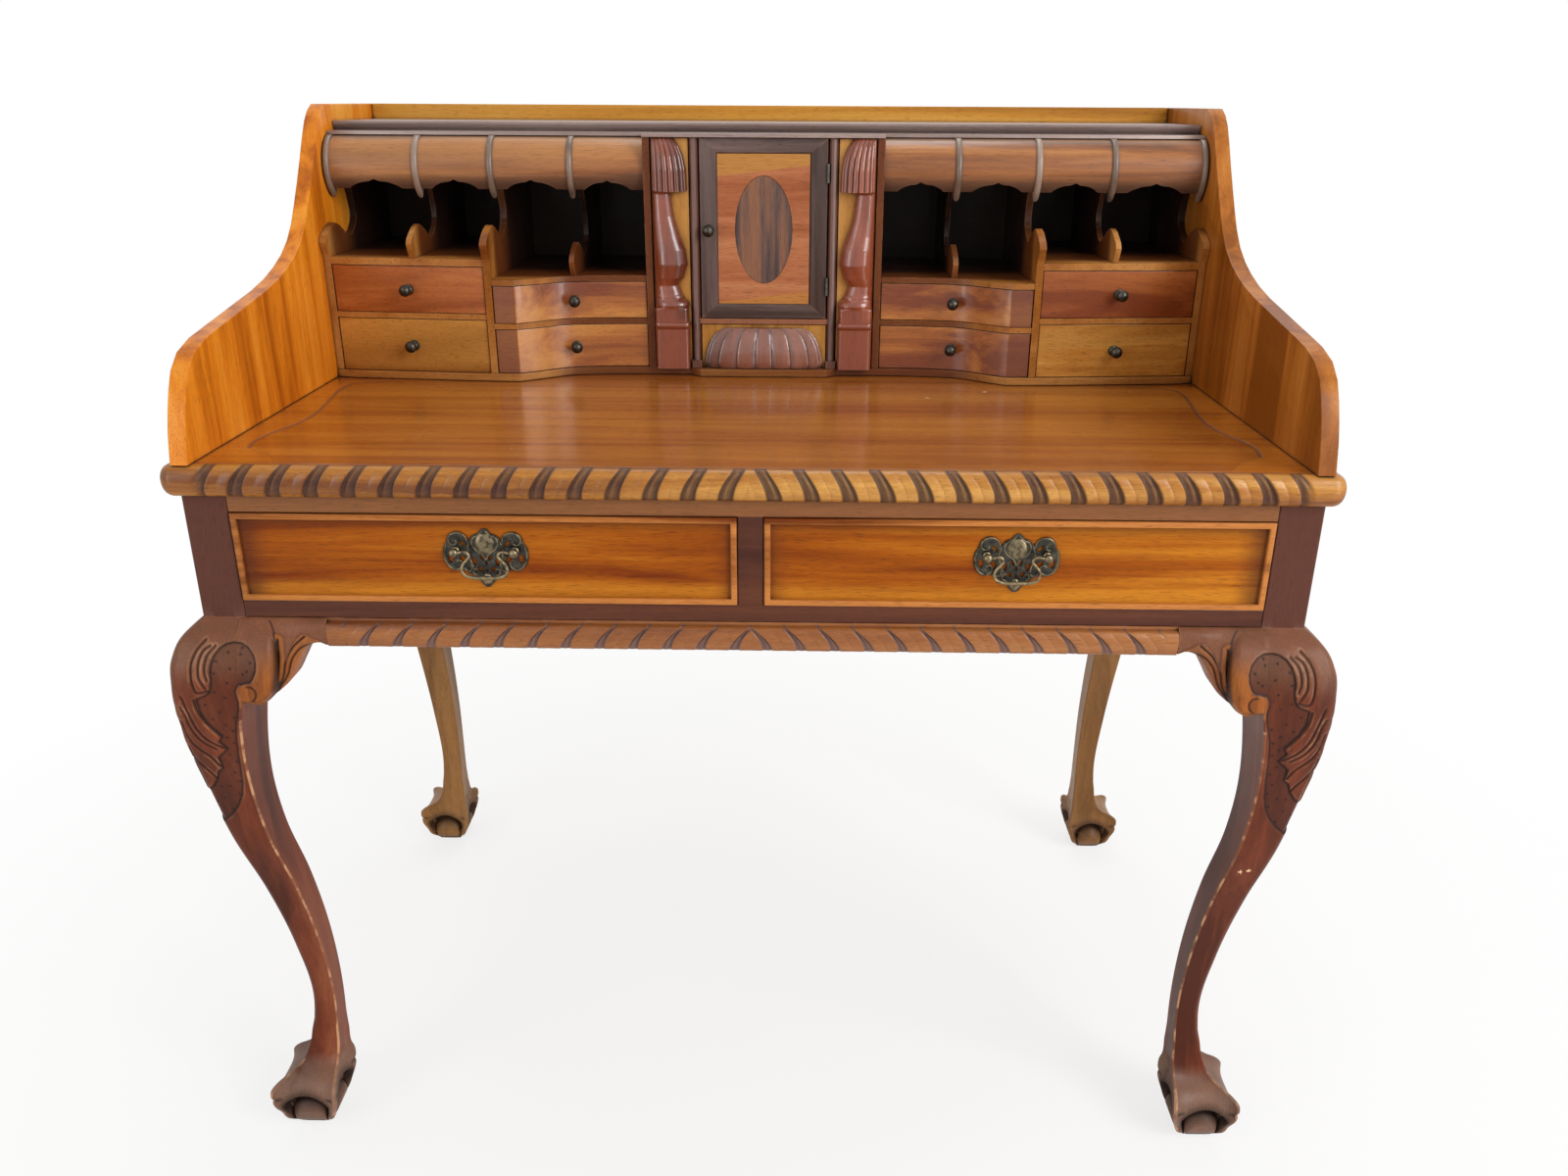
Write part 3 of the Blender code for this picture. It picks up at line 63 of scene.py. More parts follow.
# Room light
ROOM_LEVEL = 0.55
ROOM_COLOUR = (1.0, 0.985, 0.96, 1.0)
WHITE = (1.0, 1.0, 1.0, 1.0)
FLOOR_REACH = 12.0
FLOOR_COLOUR = (0.88, 0.87, 0.86)
FLOOR_GLOW = (0.70, 1.0)
FLOOR_GLOW_REACH = (0.35, 1.5)
LAMPS = (
    # name, watts, place, aimed at, width, height
    ("window lamp", 66.0, (2.3, -2.0, 2.2), (0.0, 0.0, 0.75), 1.5, 1.9),
    ("left lamp", 16.0, (-2.2, -2.3, 1.5), (0.0, 0.0, 0.6), 1.2, 1.8),
    ("ceiling lamp", 16.0, (0.1, 0.9, 2.9), (0.0, 0.0, 0.8), 1.0, 1.6),
    ("right low window", 10.0, (2.5, -2.3, 0.5), (0.0, 0.0, 0.7), 0.5, 1.0),
    ("left low window", 5.0, (-2.4, -2.3, 0.5), (0.0, 0.0, 0.7), 0.4, 1.0),
)

# Sizes that the desk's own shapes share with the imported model
CASE_WIDTH = 1.0625
CASE_DEPTH = 0.628
HALF_WIDTH = CASE_WIDTH / 2
HALF_DEPTH = CASE_DEPTH / 2
LEG_HEIGHT = 0.641
CASE_TOP = 0.764
SURFACE = 0.794
SEAT = 0.0003
POST_SIDE = 0.042
KNEE_SWELL = 0.032
ARRIS_RADIUS = 0.0014
FOOT_HEIGHT = 0.104
FOOT_WIDTH = 0.074
FOOT_INSET = 0.020

# Height up the leg, outer sweep, inner sweep, edge radius and crown of its faces
LEG_SHARES = (
    (1.000, 0.00, 1.00, 0.06, 0.00),
    (0.978, 0.50, 1.00, 0.14, 0.02),
    (0.945, 0.86, 0.99, 0.26, 0.05),
    (0.900, 1.00, 0.96, 0.32, 0.06),
    (0.820, 0.95, 0.78, 0.29, 0.04),
    (0.712, 0.625, 0.68, 0.22, 0.02),
    (0.616, 0.31, 0.77, 0.20, 0.01),
    (0.500, -0.21, 1.05, 0.20, 0.00),
    (0.370, -0.65, 1.25, 0.20, 0.00),
    (0.240, -0.87, 1.31, 0.20, 0.00),
    (0.180, -0.77, 1.29, 0.18, 0.00),
)
# Height up the foot, inset of its middle and half width at the talons
TALON_SHARES = (
    (1.00, 1.91, 0.44),
    (0.90, 1.84, 0.48),
    (0.81, 1.73, 0.53),
    (0.74, 1.57, 0.62),
    (0.70, 1.41, 0.72),
    (0.65, 1.18, 0.88),
    (0.60, 1.05, 0.97),
    (0.52, 1.00, 1.00),
    (0.44, 1.00, 0.99),
    (0.36, 1.00, 0.95),
    (0.26, 1.02, 0.85),
    (0.125, 1.00, 0.71),
    (0.04, 1.00, 0.50),
    (0.00, 1.00, 0.42),
)
# Height up the foot and half width of the web between the talons
WEB_SHARES = (
    (1.00, 0.43),
    (0.90, 0.455),
    (0.81, 0.49),
    (0.74, 0.54),
    (0.70, 0.60),
    (0.65, 0.70),
    (0.60, 0.78),
    (0.52, 0.86),
    (0.40, 0.90),
    (0.0, 0.92),
)
# The ball that the talons hold: how far out and how high its middle lies, and its radius
BALL_OUT = 0.0085
BALL_LEVEL = 0.0205
BALL_RADIUS = 0.0248
# Half way across a face at which the claws begin, how deep they start, and the arch of the web's edge over the ball
CLAW_SHARES = (0.62, 0.86)
CLAW_ROOT = 0.52
ARCH_SHARES = (0.47, 0.20)
# Heights about the web's edge, in shares of the foot: where it covers the ball, the shadow under it and its lip
WEB_COVER = (-0.02, 0.035)
WEB_SHADOW = (-0.26, -0.04)
WEB_LIP = 0.15
# Half way across a face: where the shadow under the web ends, and the crease begins
SHADOW_ACROSS = (0.80, 0.97)
CREASE_ACROSS = (0.5, 0.9)
# The line where a claw meets the ball: how wide and how deep it is
CLAW_LINE = (0.0042, 0.0012)
# The foot's arris: its share of the half width, and the least and the most that it is
FOOT_ARRIS = (0.05, 0.0010, 0.0028)
# Height and depth of the crease under each talon's knuckle
KNUCKLE_CREASE = (0.465, 0.030, 0.035)


def tone(red, green, blue):
    """A colour as it is seen, in 0 to 255, turned into the shader's linear colour."""
    channels = []
    for value in (red, green, blue):
        share = value / 255
        channels.append(share / 12.92 if share <= 0.04045 else ((share + 0.055) / 1.055) ** 2.4)
    return (*channels, 1.0)


class Finish:
    """A material whose nodes are added one by one."""

    def __init__(self, name):
        self.material = bpy.data.materials.new(name)
        self.material.use_nodes = True
        self.tree = self.material.node_tree
        self.shader = self.tree.nodes["Principled BSDF"]

    def add(self, kind, sockets=None, out=0, **settings):
        node = self.tree.nodes.new("ShaderNode" + kind)
        for key, value in settings.items():
            setattr(node, key, value)
        for key, value in (sockets or {}).items():
            self.feed(node.inputs[key], value)
        return node.outputs[out]

    def feed(self, socket, value):
        if isinstance(value, bpy.types.NodeSocket):
            self.tree.links.new(value, socket)
        else:
            socket.default_value = value

    def sum(self, operation, first, second=0.0, clamp=False):
        return self.add("Math", {0: first, 1: second}, operation=operation, use_clamp=clamp)

    def part(self, value, gain):
        return self.sum("MULTIPLY", value, gain)

    def swing(self, value, gain):
        """How far a value lies from one half, made this much stronger."""
        return self.part(self.sum("SUBTRACT", value, 0.5), gain)

    def blend(self, share, first, second):
        return self.add("Mix", {0: share, 6: first, 7: second}, out=2, data_type="RGBA")

    def mark(self, name):
        """A mark that the piece's own mesh carries."""
        return self.add("Attribute", out="Fac", attribute_name=name)

    def hollows(self, reach, **settings):
        """How open each place is, within this reach."""
        return self.add("AmbientOcclusion", {"Distance": reach}, out="AO", **settings)

    def noise(self, place, scale, detail=2.0, roughness=0.5, distortion=0.0):
        sockets = {"Vector": place, "Scale": scale, "Detail": detail, "Roughness": roughness, "Distortion": distortion}
        return self.add("TexNoise", sockets)

    def band(self, value, low, high):
        """0 below low, 1 above high and smooth between them."""
        return self.add("MapRange", {0: value, 1: low, 2: high}, interpolation_type="SMOOTHSTEP")

    def ramp(self, value, stops):
        node = self.tree.nodes.new("ShaderNodeValToRGB")
        self.tree.links.new(value, node.inputs[0])
        stops, elements = list(stops), node.color_ramp.elements
        while len(elements) < len(stops):
            elements.new(0.5)
        for element, (place, colour) in zip(elements, stops):
            element.position = place
            element.color = colour
        return node.outputs[0]


STRETCH = {"x": (0.05, 1.0, 1.0), "y": (1.0, 0.05, 1.0), "z": (1.0, 1.0, 0.05), "face": (0.3, 1.0, 0.3)}
# The dark tone of the pores, of the glaze and of the shade painted into hollows and cuts
DARK_STAIN_AND_SHADE = (30, 17, 14)
GLAZE_AND_SHADE = tone(*DARK_STAIN_AND_SHADE)
# The light tone of worn arrises and of the highlights painted along arrises and carved edges
WORN_AND_HIGHLIGHT = tone(196, 146, 108)
BARE = tone(222, 182, 138)
SIDEWAYS = (1.0, 0.0, 0.0)
UP = (0.0, 0.0, 1.0)
BACKWARDS = (0.0, 1.0, 0.0)

# Noises of the wood: scale, detail, roughness and distortion
FIGURE_NOISE = (34.0, 5.0, 0.62, 0.5)
BROAD_NOISE = (9.0, 2.0, 0.5, 0.3)
BLOTCH_NOISE = (7.0, 3.0, 0.55, 0.6)
FINE_NOISE = (420.0, 2.0, 0.6)
PORE_NOISE = (1500.0, 1.0)
PATCH_NOISE = (60.0, 3.0)
SCUFF_NOISE = (240.0, 4.0, 0.7)
HAZE_NOISE = (38.0, 3.0)
# Places in the figure of its deep, middle and light tones
FIGURE_STOPS = (0.28, 0.5, 0.72)
BLOTCH_SHIFT = (3.1, 0.4, 2.2)
# How far from an edge the dark glaze and painted shade reach into a hollow, and how near an arris the polish is worn
# and painted lighter as a highlight
HOLLOW_REACH = 0.007
ARRIS_REACH = 0.0016
SCUFF_RAGGED = 0.016
GRAIN_RELIEF = 0.0002


def grown(finish, place, grain, shift, scale, contrast):
    """Coordinates drawn out along the grain, and the wood's figure on them."""
    start = (shift, 1.7 * shift, 0.6 * shift)
    along = finish.add("Mapping", {"Vector": place, "Location": start, "Scale": STRETCH[grain]})
    size, detail, rough, bent = FIGURE_NOISE
    narrow = finish.noise(along, size * scale, detail, rough, bent / scale)
    size, *broad = BROAD_NOISE
    figure = finish.sum("ADD", narrow, finish.swing(finish.noise(along, size * scale, *broad), 0.8))
    return along, finish.sum("ADD", finish.swing(figure, contrast), 0.5)


def tinted(finish, colour, place, figure, zones):
    """The colour with each zone's tint, which begins at a level and is full at another, on both sides of the middle."""
    for direction, low, high, tint, strength in zones:
        reach = finish.add("VectorMath", {0: place, 1: direction}, out="Value", operation="DOT_PRODUCT")
        reach = finish.part(finish.band(finish.sum("ABSOLUTE", reach), low, high), strength)
        colour = finish.blend(finish.part(reach, finish.band(figure, 0.0, 0.35)), colour, tone(*tint))
    return colour


def used(finish, colour, place, wear, scuffs):
    """The colour with its worn arrises, which are also painted lighter as a highlight, its marked places painted
    lighter as highlights, and its bare scuffs.
    """
    # Arrises are painted lighter, for their worn polish and their highlight, and marked places get painted highlights.
    arris = finish.hollows(ARRIS_REACH, samples=4, inside=True, only_local=True)
    patchy = finish.band(finish.noise(place, *PATCH_NOISE), 0.45, 0.62)
    worn_and_highlight = finish.part(finish.part(finish.band(arris, 0.86, 0.5), patchy), wear)
    rubbed_and_highlight = finish.part(finish.mark("rubbed_and_highlight"), finish.sum("ADD", patchy, 0.25))
    colour = finish.blend(finish.sum("MAXIMUM", worn_and_highlight, rubbed_and_highlight, clamp=True), colour, WORN_AND_HIGHLIGHT)
    ragged = finish.swing(finish.noise(place, *SCUFF_NOISE), SCUFF_RAGGED)
    for spot, reach in scuffs:
        away = finish.add("VectorMath", {0: place, 1: spot}, out="Value", operation="DISTANCE")
        colour = finish.blend(finish.band(finish.sum("ADD", away, ragged), reach, 0.85 * reach), colour, BARE)
    return colour


def wood(name, deep, middle, light, grain="x", shift=0.0, contrast=1.0, pores=0.35, glaze=0.85, wear=0.3,
         roughness=0.34, gloss=0.22, coat=0.06, blotch=None, amber=(168, 106, 44), stain=DARK_STAIN_AND_SHADE,
         scale=1.0, zones=(), scuffs=()):
    """Polished wood with its figure drawn out along the grain, dark glaze and painted shade in its hollows and cuts,
    and worn arrises that are painted lighter as a highlight too.
    """
    finish = Finish(name)
    place = finish.add("TexCoord", out="Object")
    along, figure = grown(finish, place, grain, shift, scale, contrast)
    colour = finish.ramp(figure, zip(FIGURE_STOPS, (deep, middle, light)))
    if blotch:
        tint, low, high = blotch
        cloud = finish.noise(finish.add("Mapping", {"Vector": along, "Location": BLOTCH_SHIFT}), *BLOTCH_NOISE)
        colour = finish.blend(finish.band(cloud, low, high), colour, tone(*tint))
    colour = tinted(finish, colour, place, figure, zones)
    sap = finish.part(finish.mark("amber"), finish.band(figure, 0.2, 0.6))
    colour = finish.blend(sap, colour, tone(*amber))
    fine = finish.noise(along, *FINE_NOISE)
    colour = finish.blend(finish.part(finish.band(fine, 0.35, 0.62), 0.12), colour, deep)
    pore = finish.band(finish.noise(along, *PORE_NOISE), 0.58, 0.68)
    colour = finish.blend(finish.part(pore, pores), colour, GLAZE_AND_SHADE)
    # Painted shade: hollows that nearby surfaces close in, and the marked cuts, are darkened towards the dark tone.
    hollow = finish.band(finish.hollows(HOLLOW_REACH, samples=6), 0.72, 0.28)
    carved = finish.mark("glaze")
    colour = finish.blend(finish.part(carved, glaze), colour, tone(*stain))
    colour = finish.blend(finish.part(hollow, glaze), colour, GLAZE_AND_SHADE)
    colour = used(finish, colour, place, wear, scuffs)
    finish.feed(finish.shader.inputs["Base Color"], colour)
    dark = finish.part(finish.sum("MAXIMUM", hollow, carved), glaze)
    matt = finish.sum("ADD", finish.part(finish.noise(place, *HAZE_NOISE), 0.16), roughness - 0.08)
    finish.feed(finish.shader.inputs["Roughness"], finish.sum("ADD", matt, finish.part(dark, 0.25)))
    relief = {"Strength": 0.22, "Distance": GRAIN_RELIEF, "Height": finish.sum("SUBTRACT", fine, pore)}
    finish.feed(finish.shader.inputs["Normal"], finish.add("Bump", relief))
    finish.shader.inputs["Specular IOR Level"].default_value = gloss
    finish.shader.inputs["Coat Weight"].default_value = coat
    finish.shader.inputs["Coat Roughness"].default_value = 0.12
    return finish.material


# Cast brass: its cloudy tones with their places, its rubbed tone that also paints highlights, and the dirt in its
# hollows
BRASS_TONES = ((0.3, tone(44, 42, 40)), (0.55, tone(70, 68, 62)), (0.8, tone(104, 98, 84)))
BRASS_RUBBED_AND_HIGHLIGHT = tone(158, 140, 104)
BRASS_DIRT = tone(26, 25, 22)
BRASS_NOISE = (240.0, 4.0, 0.6)
BRASS_HOLLOW = 0.003


def old_brass(name):
    """Dark antique brass, dirty in its hollows, and rubbed bright on its high places, which also paints their
    highlights.
    """
    finish = Finish(name)
    place = finish.add("TexCoord", out="Object")
    cloud = finish.noise(place, *BRASS_NOISE)
    colour = finish.ramp(cloud, BRASS_TONES)
    # Marked high places are painted lighter, for their rubbed metal and their highlight.
    rubbed_and_highlight = finish.part(finish.mark("rubbed_and_highlight"), finish.band(cloud, 0.25, 0.6))
    colour = finish.blend(rubbed_and_highlight, colour, BRASS_RUBBED_AND_HIGHLIGHT)
    hollow = finish.band(finish.hollows(BRASS_HOLLOW, samples=6), 0.8, 0.3)
    colour = finish.blend(finish.part(hollow, 0.8), colour, BRASS_DIRT)
    finish.feed(finish.shader.inputs["Base Color"], colour)
    finish.feed(finish.shader.inputs["Roughness"], finish.sum("ADD", finish.part(cloud, 0.3), 0.2))
    bump = finish.add("Bump", {"Strength": 0.25, "Distance": GRAIN_RELIEF, "Height": cloud})
    finish.feed(finish.shader.inputs["Normal"], bump)
    finish.shader.inputs["Metallic"].default_value = 0.9
    return finish.material


def make_finishes():
    """Every finish on the desk, by name. Tones run from 0 to 255. Zones and scuffs are set in metres."""
    finishes = {}

    def add(name, *tones, **facts):
        finishes[name] = wood(name, *(tone(*one) for one in tones), **facts)

    # Painted shade inside the pigeonholes: the wood darkens in two steps the further back it lies.
    painted_inside_shade = (20, 15, 16)
    inside = ((BACKWARDS, 0.068, 0.092, (92, 44, 22), 0.85), (BACKWARDS, 0.115, 0.170, painted_inside_shade, 0.97))
    leg_scuffs = (
        ((0.5085, -0.3130, 0.3660), 0.0052),
        ((0.5170, -0.3130, 0.3690), 0.0058),
        ((0.5260, -0.3110, 0.3730), 0.0034),
    )
    top_scuffs = (((0.2590, 0.0130, 0.794), 0.0030), ((0.1900, -0.0210, 0.794), 0.0020))
    # On the legs the zone over the knee top and the zone on the foot are painted sheen, lighter and greyer.
    add("leg mahogany", (74, 30, 13), (112, 51, 27), (140, 76, 46), grain="z", gloss=0.16, coat=0.03,
        amber=(168, 98, 38), scuffs=leg_scuffs, glaze=0.95,
        zones=((UP, 0.575, 0.612, (132, 92, 68), 0.6), (UP, 0.6405, 0.6415, (84, 46, 36), 0.9),
               (UP, 0.092, 0.064, (130, 106, 90), 0.7)))
    add("back leg mahogany", (92, 60, 26), (132, 90, 48), (158, 112, 62), grain="z", shift=2.0)
    add("rail mahogany", (44, 16, 11), (74, 34, 20), (94, 50, 30), grain="x", shift=1.4,
        zones=((UP, 0.7472, 0.7478, (142, 90, 50), 0.85),))
    add("case side mahogany", (84, 42, 18), (116, 62, 30), (140, 82, 42), grain="y", shift=4.0)
    add("top mahogany", (126, 60, 14), (160, 90, 26), (182, 114, 40), grain="x", shift=0.3, roughness=0.24,
        gloss=0.5, coat=0.3, wear=0.1, amber=(190, 112, 32), stain=(58, 42, 44), scuffs=top_scuffs)
    add("drawer mahogany", (112, 44, 5), (156, 80, 9), (190, 116, 26), grain="x", shift=0.9, roughness=0.36,
        gloss=0.10, coat=0.02, contrast=1.3, amber=(192, 122, 62),
        zones=((UP, 0.684, 0.672, (196, 126, 34), 0.5), (UP, 0.728, 0.738, (98, 48, 14), 0.6),
               (SIDEWAYS, 0.452, 0.482, (76, 38, 20), 0.75), (SIDEWAYS, 0.040, 0.016, (104, 50, 18), 0.6)))
    add("moulding mahogany", (116, 62, 14), (170, 108, 34), (204, 148, 70), grain="x", shift=5.0, contrast=1.4,
        stain=(54, 32, 28), glaze=0.95, gloss=0.4)
    # The apron's dark bands take a grey-lilac tone: painted shade with a painted sheen on it.
    add("apron mahogany", (104, 52, 22), (152, 92, 44), (178, 118, 66), grain="x", shift=6.0, stain=(88, 74, 78),
        gloss=0.4)
    # The two gallery sides are one wood, painted lighter on the left as if lit and darker on the right as if in shade.
    add("left gallery side mahogany", (170, 86, 10), (222, 130, 26), (236, 160, 58), grain="z", shift=7.3,
        contrast=1.2)
    add("right gallery side mahogany", (132, 72, 16), (170, 100, 32), (192, 124, 52), grain="z", shift=7.9,
        contrast=1.2)
    # The gallery back's face inside the pigeonholes is painted nearly black as shade.
    add("gallery back mahogany", (156, 98, 24), (202, 140, 50), (220, 166, 76), grain="x", shift=8.1, glaze=0.97,
        stain=painted_inside_shade)
    add("cornice mahogany", (110, 90, 84), (152, 132, 126), (180, 160, 152), grain="x", shift=9.0, glaze=0.3,
        gloss=0.6)
    # On the canopy the lower zone darkens the board towards its foot, and the upper zone paints a sheen along its top.
    add("canopy mahogany", (92, 48, 18), (148, 88, 40), (182, 122, 66), grain="x", shift=9.6, contrast=1.6,
        blotch=((100, 66, 42), 0.50, 0.66), gloss=0.5, coat=0.15,
        zones=((UP, 1.030, 1.016, (92, 70, 58), 0.85), (UP, 1.0610, 1.0660, (176, 154, 130), 0.4)))
    add("rib mahogany", (100, 82, 68), (140, 118, 102), (166, 144, 128), grain="z", shift=9.9, gloss=0.6)
    add("partition mahogany", (118, 62, 20), (164, 104, 44), (192, 134, 70), grain="face", shift=10.0,
        zones=inside)
    add("base mahogany", (112, 62, 22), (162, 104, 46), (190, 134, 70), grain="x", shift=10.7, zones=inside)
    add("column mahogany", (88, 66, 60), (130, 108, 102), (160, 138, 130), grain="z", shift=11.0, glaze=0.6,
        gloss=0.5, zones=(*inside, (SIDEWAYS, 0.0762, 0.0756, (152, 94, 60), 0.85)))
    add("amber drawer mahogany", (128, 74, 18), (186, 122, 48), (208, 150, 70), grain="x", shift=12.0,
        contrast=1.7, blotch=((126, 76, 28), 0.50, 0.64))
    add("red drawer mahogany", (126, 58, 20), (170, 96, 44), (194, 122, 64), grain="x", shift=13.0, gloss=0.4)
    # The zone on the inner drawers paints the flat facet at their outer ends darker as shade.
    add("inner drawer mahogany", (122, 56, 20), (174, 104, 42), (202, 136, 62), grain="x", shift=14.0,
        contrast=1.4, gloss=0.5, coat=0.5, zones=((SIDEWAYS, 0.2885, 0.2902, (112, 58, 38), 0.75),))
    add("door frame mahogany", (68, 53, 48), (110, 91, 87), (140, 116, 104), grain="z", shift=15.0, contrast=1.3)
    add("door rail mahogany", (68, 53, 48), (110, 91, 87), (148, 112, 90), grain="x", shift=15.6, contrast=1.5)
    add("door panel mahogany", (144, 78, 42), (176, 108, 70), (192, 130, 88), grain="x", shift=16.0, scale=1.6,
        wear=0, zones=(((-0.1165, 0.0, 1.0), 1.0309, 1.0322, (184, 130, 62), 0.9),
               ((-0.12, 0.0, 1.0), 0.8886, 0.8874, (186, 126, 62), 0.9)))
    add("oval rosewood", (56, 42, 40), (94, 76, 72), (140, 98, 74), grain="z", shift=17.3, contrast=1.5, scale=2.2,
        wear=0)
    add("pilaster mahogany", (92, 38, 20), (142, 68, 42), (172, 100, 70), grain="z", shift=18.0, roughness=0.24,
        gloss=0.5, coat=0.7, zones=((UP, 0.866, 0.858, (134, 66, 42), 0.8),))
    # The shell's flutes take a grey-lilac tone: painted shade with a painted sheen on it.
    add("shell mahogany", (84, 46, 32), (128, 74, 56), (156, 102, 82), grain="z", shift=19.0, roughness=0.24,
        gloss=0.6, coat=0.7, stain=(76, 66, 70))
    add("document drawer mahogany", (134, 82, 30), (176, 122, 54), (196, 144, 76), grain="z", shift=20.0)
    add("plain wood", (128, 92, 54), (158, 120, 76), (182, 144, 98), grain="y", shift=21.0, roughness=0.55,
        glaze=0.4)
    add("plain back wood", (104, 66, 34), (136, 92, 52), (160, 116, 72), grain="x", shift=22.0, roughness=0.55,
        glaze=0.4)
    finishes["antique brass"] = old_brass("antique brass")
    return finishes


NODE_FINISHES = {
    "apron_moulding": "apron mahogany",
    "front_rails": "rail mahogany",
    "case_back": "plain back wood",
    "drawer_dustboard": "plain back wood",
    "writing_top": "top mahogany",
    "edge_moulding": "moulding mahogany",
    "gallery_back": "gallery back mahogany",
    "gallery_base": "base mahogany",
    "gallery_top": "cornice mahogany",
    "left_gallery_side": "left gallery side mahogany",
    "right_gallery_side": "right gallery side mahogany",
    "prospect_surround": "column mahogany",
    "door_frame": "door frame mahogany",
    "door_panel": "door panel mahogany",
    "door_oval_inlay": "oval rosewood",
    "shell_drawer": "document drawer mahogany",
    "carved_shell": "shell mahogany",
}
# The nodes that the desk has on its left and on its right
PAIRED_FINISHES = {
    "front_leg": "leg mahogany",
    "back_leg": "back leg mahogany",
    "knee_bracket": "apron mahogany",
    "case_side": "case side mahogany",
    "pigeonhole_frame": "partition mahogany",
    "canopy": "canopy mahogany",
    "drawer_front": "drawer mahogany",
    "drawer_box": "plain wood",
    "outer_lower_drawer": "amber drawer mahogany",
    "outer_upper_drawer": "red drawer mahogany",
    "inner_lower_drawer": "inner drawer mahogany",
    "inner_upper_drawer": "inner drawer mahogany",
    "document_drawer": "document drawer mahogany",
    "pilaster": "pilaster mahogany",
}
for part, finish in PAIRED_FINISHES.items():
    for hand in HANDS:
        NODE_FINISHES[f"{hand}_{part}"] = finish


def link(thing):
    bpy.context.scene.collection.objects.link(thing)
    return thing


def place_camera():
    """The photograph's view, from its place, its three turns and its focal length."""
    yaw, pitch, roll = (math.radians(angle) for angle in (CAMERA_YAW, CAMERA_PITCH, CAMERA_ROLL))
    ahead = Vector((-math.sin(yaw) * math.cos(pitch), math.cos(yaw) * math.cos(pitch), -math.sin(pitch)))
    level = Vector((math.cos(yaw), math.sin(yaw), 0.0))
    upright = level.cross(ahead)
    right = math.cos(roll) * level + math.sin(roll) * upright
    up = math.cos(roll) * upright - math.sin(roll) * level
    camera = bpy.data.cameras.new("photograph's view")
    camera.sensor_width = SENSOR_WIDTH
    camera.lens = FOCAL_LENGTH_PX / PHOTO_WIDTH_PX * SENSOR_WIDTH
    camera.clip_start = 0.01
    rig = link(bpy.data.objects.new("photograph's view", camera))
    rig.matrix_world = Matrix.Translation(CAMERA_PLACE) @ Matrix((right, up, -ahead)).transposed().to_4x4()
    bpy.context.scene.camera = rig


def light_the_room():
    """A pale world that lights softly and is seen as white, and the lamps."""
    world = bpy.data.worlds.new("pale room")
    world.use_nodes = True
    tree = world.node_tree
    tree.nodes.clear()
    seen = tree.nodes.new("ShaderNodeBackground")
    seen.inputs["Color"].default_value = WHITE
    lit = tree.nodes.new("ShaderNodeBackground")
    lit.inputs["Color"].default_value = ROOM_COLOUR
    lit.inputs["Strength"].default_value = ROOM_LEVEL
    path = tree.nodes.new("ShaderNodeLightPath")
    share = path.outputs["Is Camera Ray"]
    for kind in ("Is Glossy Ray", "Is Transmission Ray"):
        either = tree.nodes.new("ShaderNodeMath")
        either.operation = "MAXIMUM"
        tree.links.new(share, either.inputs[0])
        tree.links.new(path.outputs[kind], either.inputs[1])
        share = either.outputs[0]
    mixed = tree.nodes.new("ShaderNodeMixShader")
    tree.links.new(share, mixed.inputs[0])
    tree.links.new(lit.outputs[0], mixed.inputs[1])
    tree.links.new(seen.outputs[0], mixed.inputs[2])
    out = tree.nodes.new("ShaderNodeOutputWorld")
    tree.links.new(mixed.outputs[0], out.inputs[0])
    bpy.context.scene.world = world
    bpy.context.scene.view_settings.view_transform = "Standard"
    for name, watts, place, aim, width, height in LAMPS:
        lamp = bpy.data.lights.new(name, "AREA")
        lamp.energy = watts
        lamp.shape = "RECTANGLE"
        lamp.size = width
        lamp.size_y = height
        stand = link(bpy.data.objects.new(name, lamp))
        stand.location = place
        stand.rotation_euler = (Vector(aim) - Vector(place)).to_track_quat("-Z", "Y").to_euler()


def lay_floor():
    """A pale floor that keeps the desk's soft shadow."""
    mesh = bpy.data.meshes.new("floor")
    corners = [(x * FLOOR_REACH, y * FLOOR_REACH, 0) for x, y in ((-1, -1), (1, -1), (1, 1), (-1, 1))]
    mesh.from_pydata(corners, [], [(0, 1, 2, 3)])
    floor = link(bpy.data.objects.new("floor", mesh))
    finish = Finish("pale floor")
    finish.shader.inputs["Base Color"].default_value = (*FLOOR_COLOUR, 1.0)
    finish.shader.inputs["Roughness"].default_value = 0.8
    path = finish.tree.nodes.new("ShaderNodeLightPath")
    glow = finish.tree.nodes.new("ShaderNodeEmission")
    glow.inputs["Color"].default_value = WHITE
    place = finish.add("TexCoord", out="Object")
    away = finish.add("VectorMath", {0: place}, out="Value", operation="LENGTH")
    away = finish.add("MapRange", dict(enumerate((away, *FLOOR_GLOW_REACH, *FLOOR_GLOW))))
    share = finish.sum("MULTIPLY", path.outputs["Is Camera Ray"], away)
    mixed = finish.tree.nodes.new("ShaderNodeMixShader")
    finish.tree.links.new(share, mixed.inputs[0])
    finish.tree.links.new(finish.shader.outputs[0], mixed.inputs[1])
    finish.tree.links.new(glow.outputs[0], mixed.inputs[2])
    out = finish.tree.nodes["Material Output"]
    finish.tree.links.new(mixed.outputs[0], out.inputs["Surface"])
    mesh.materials.append(finish.material)


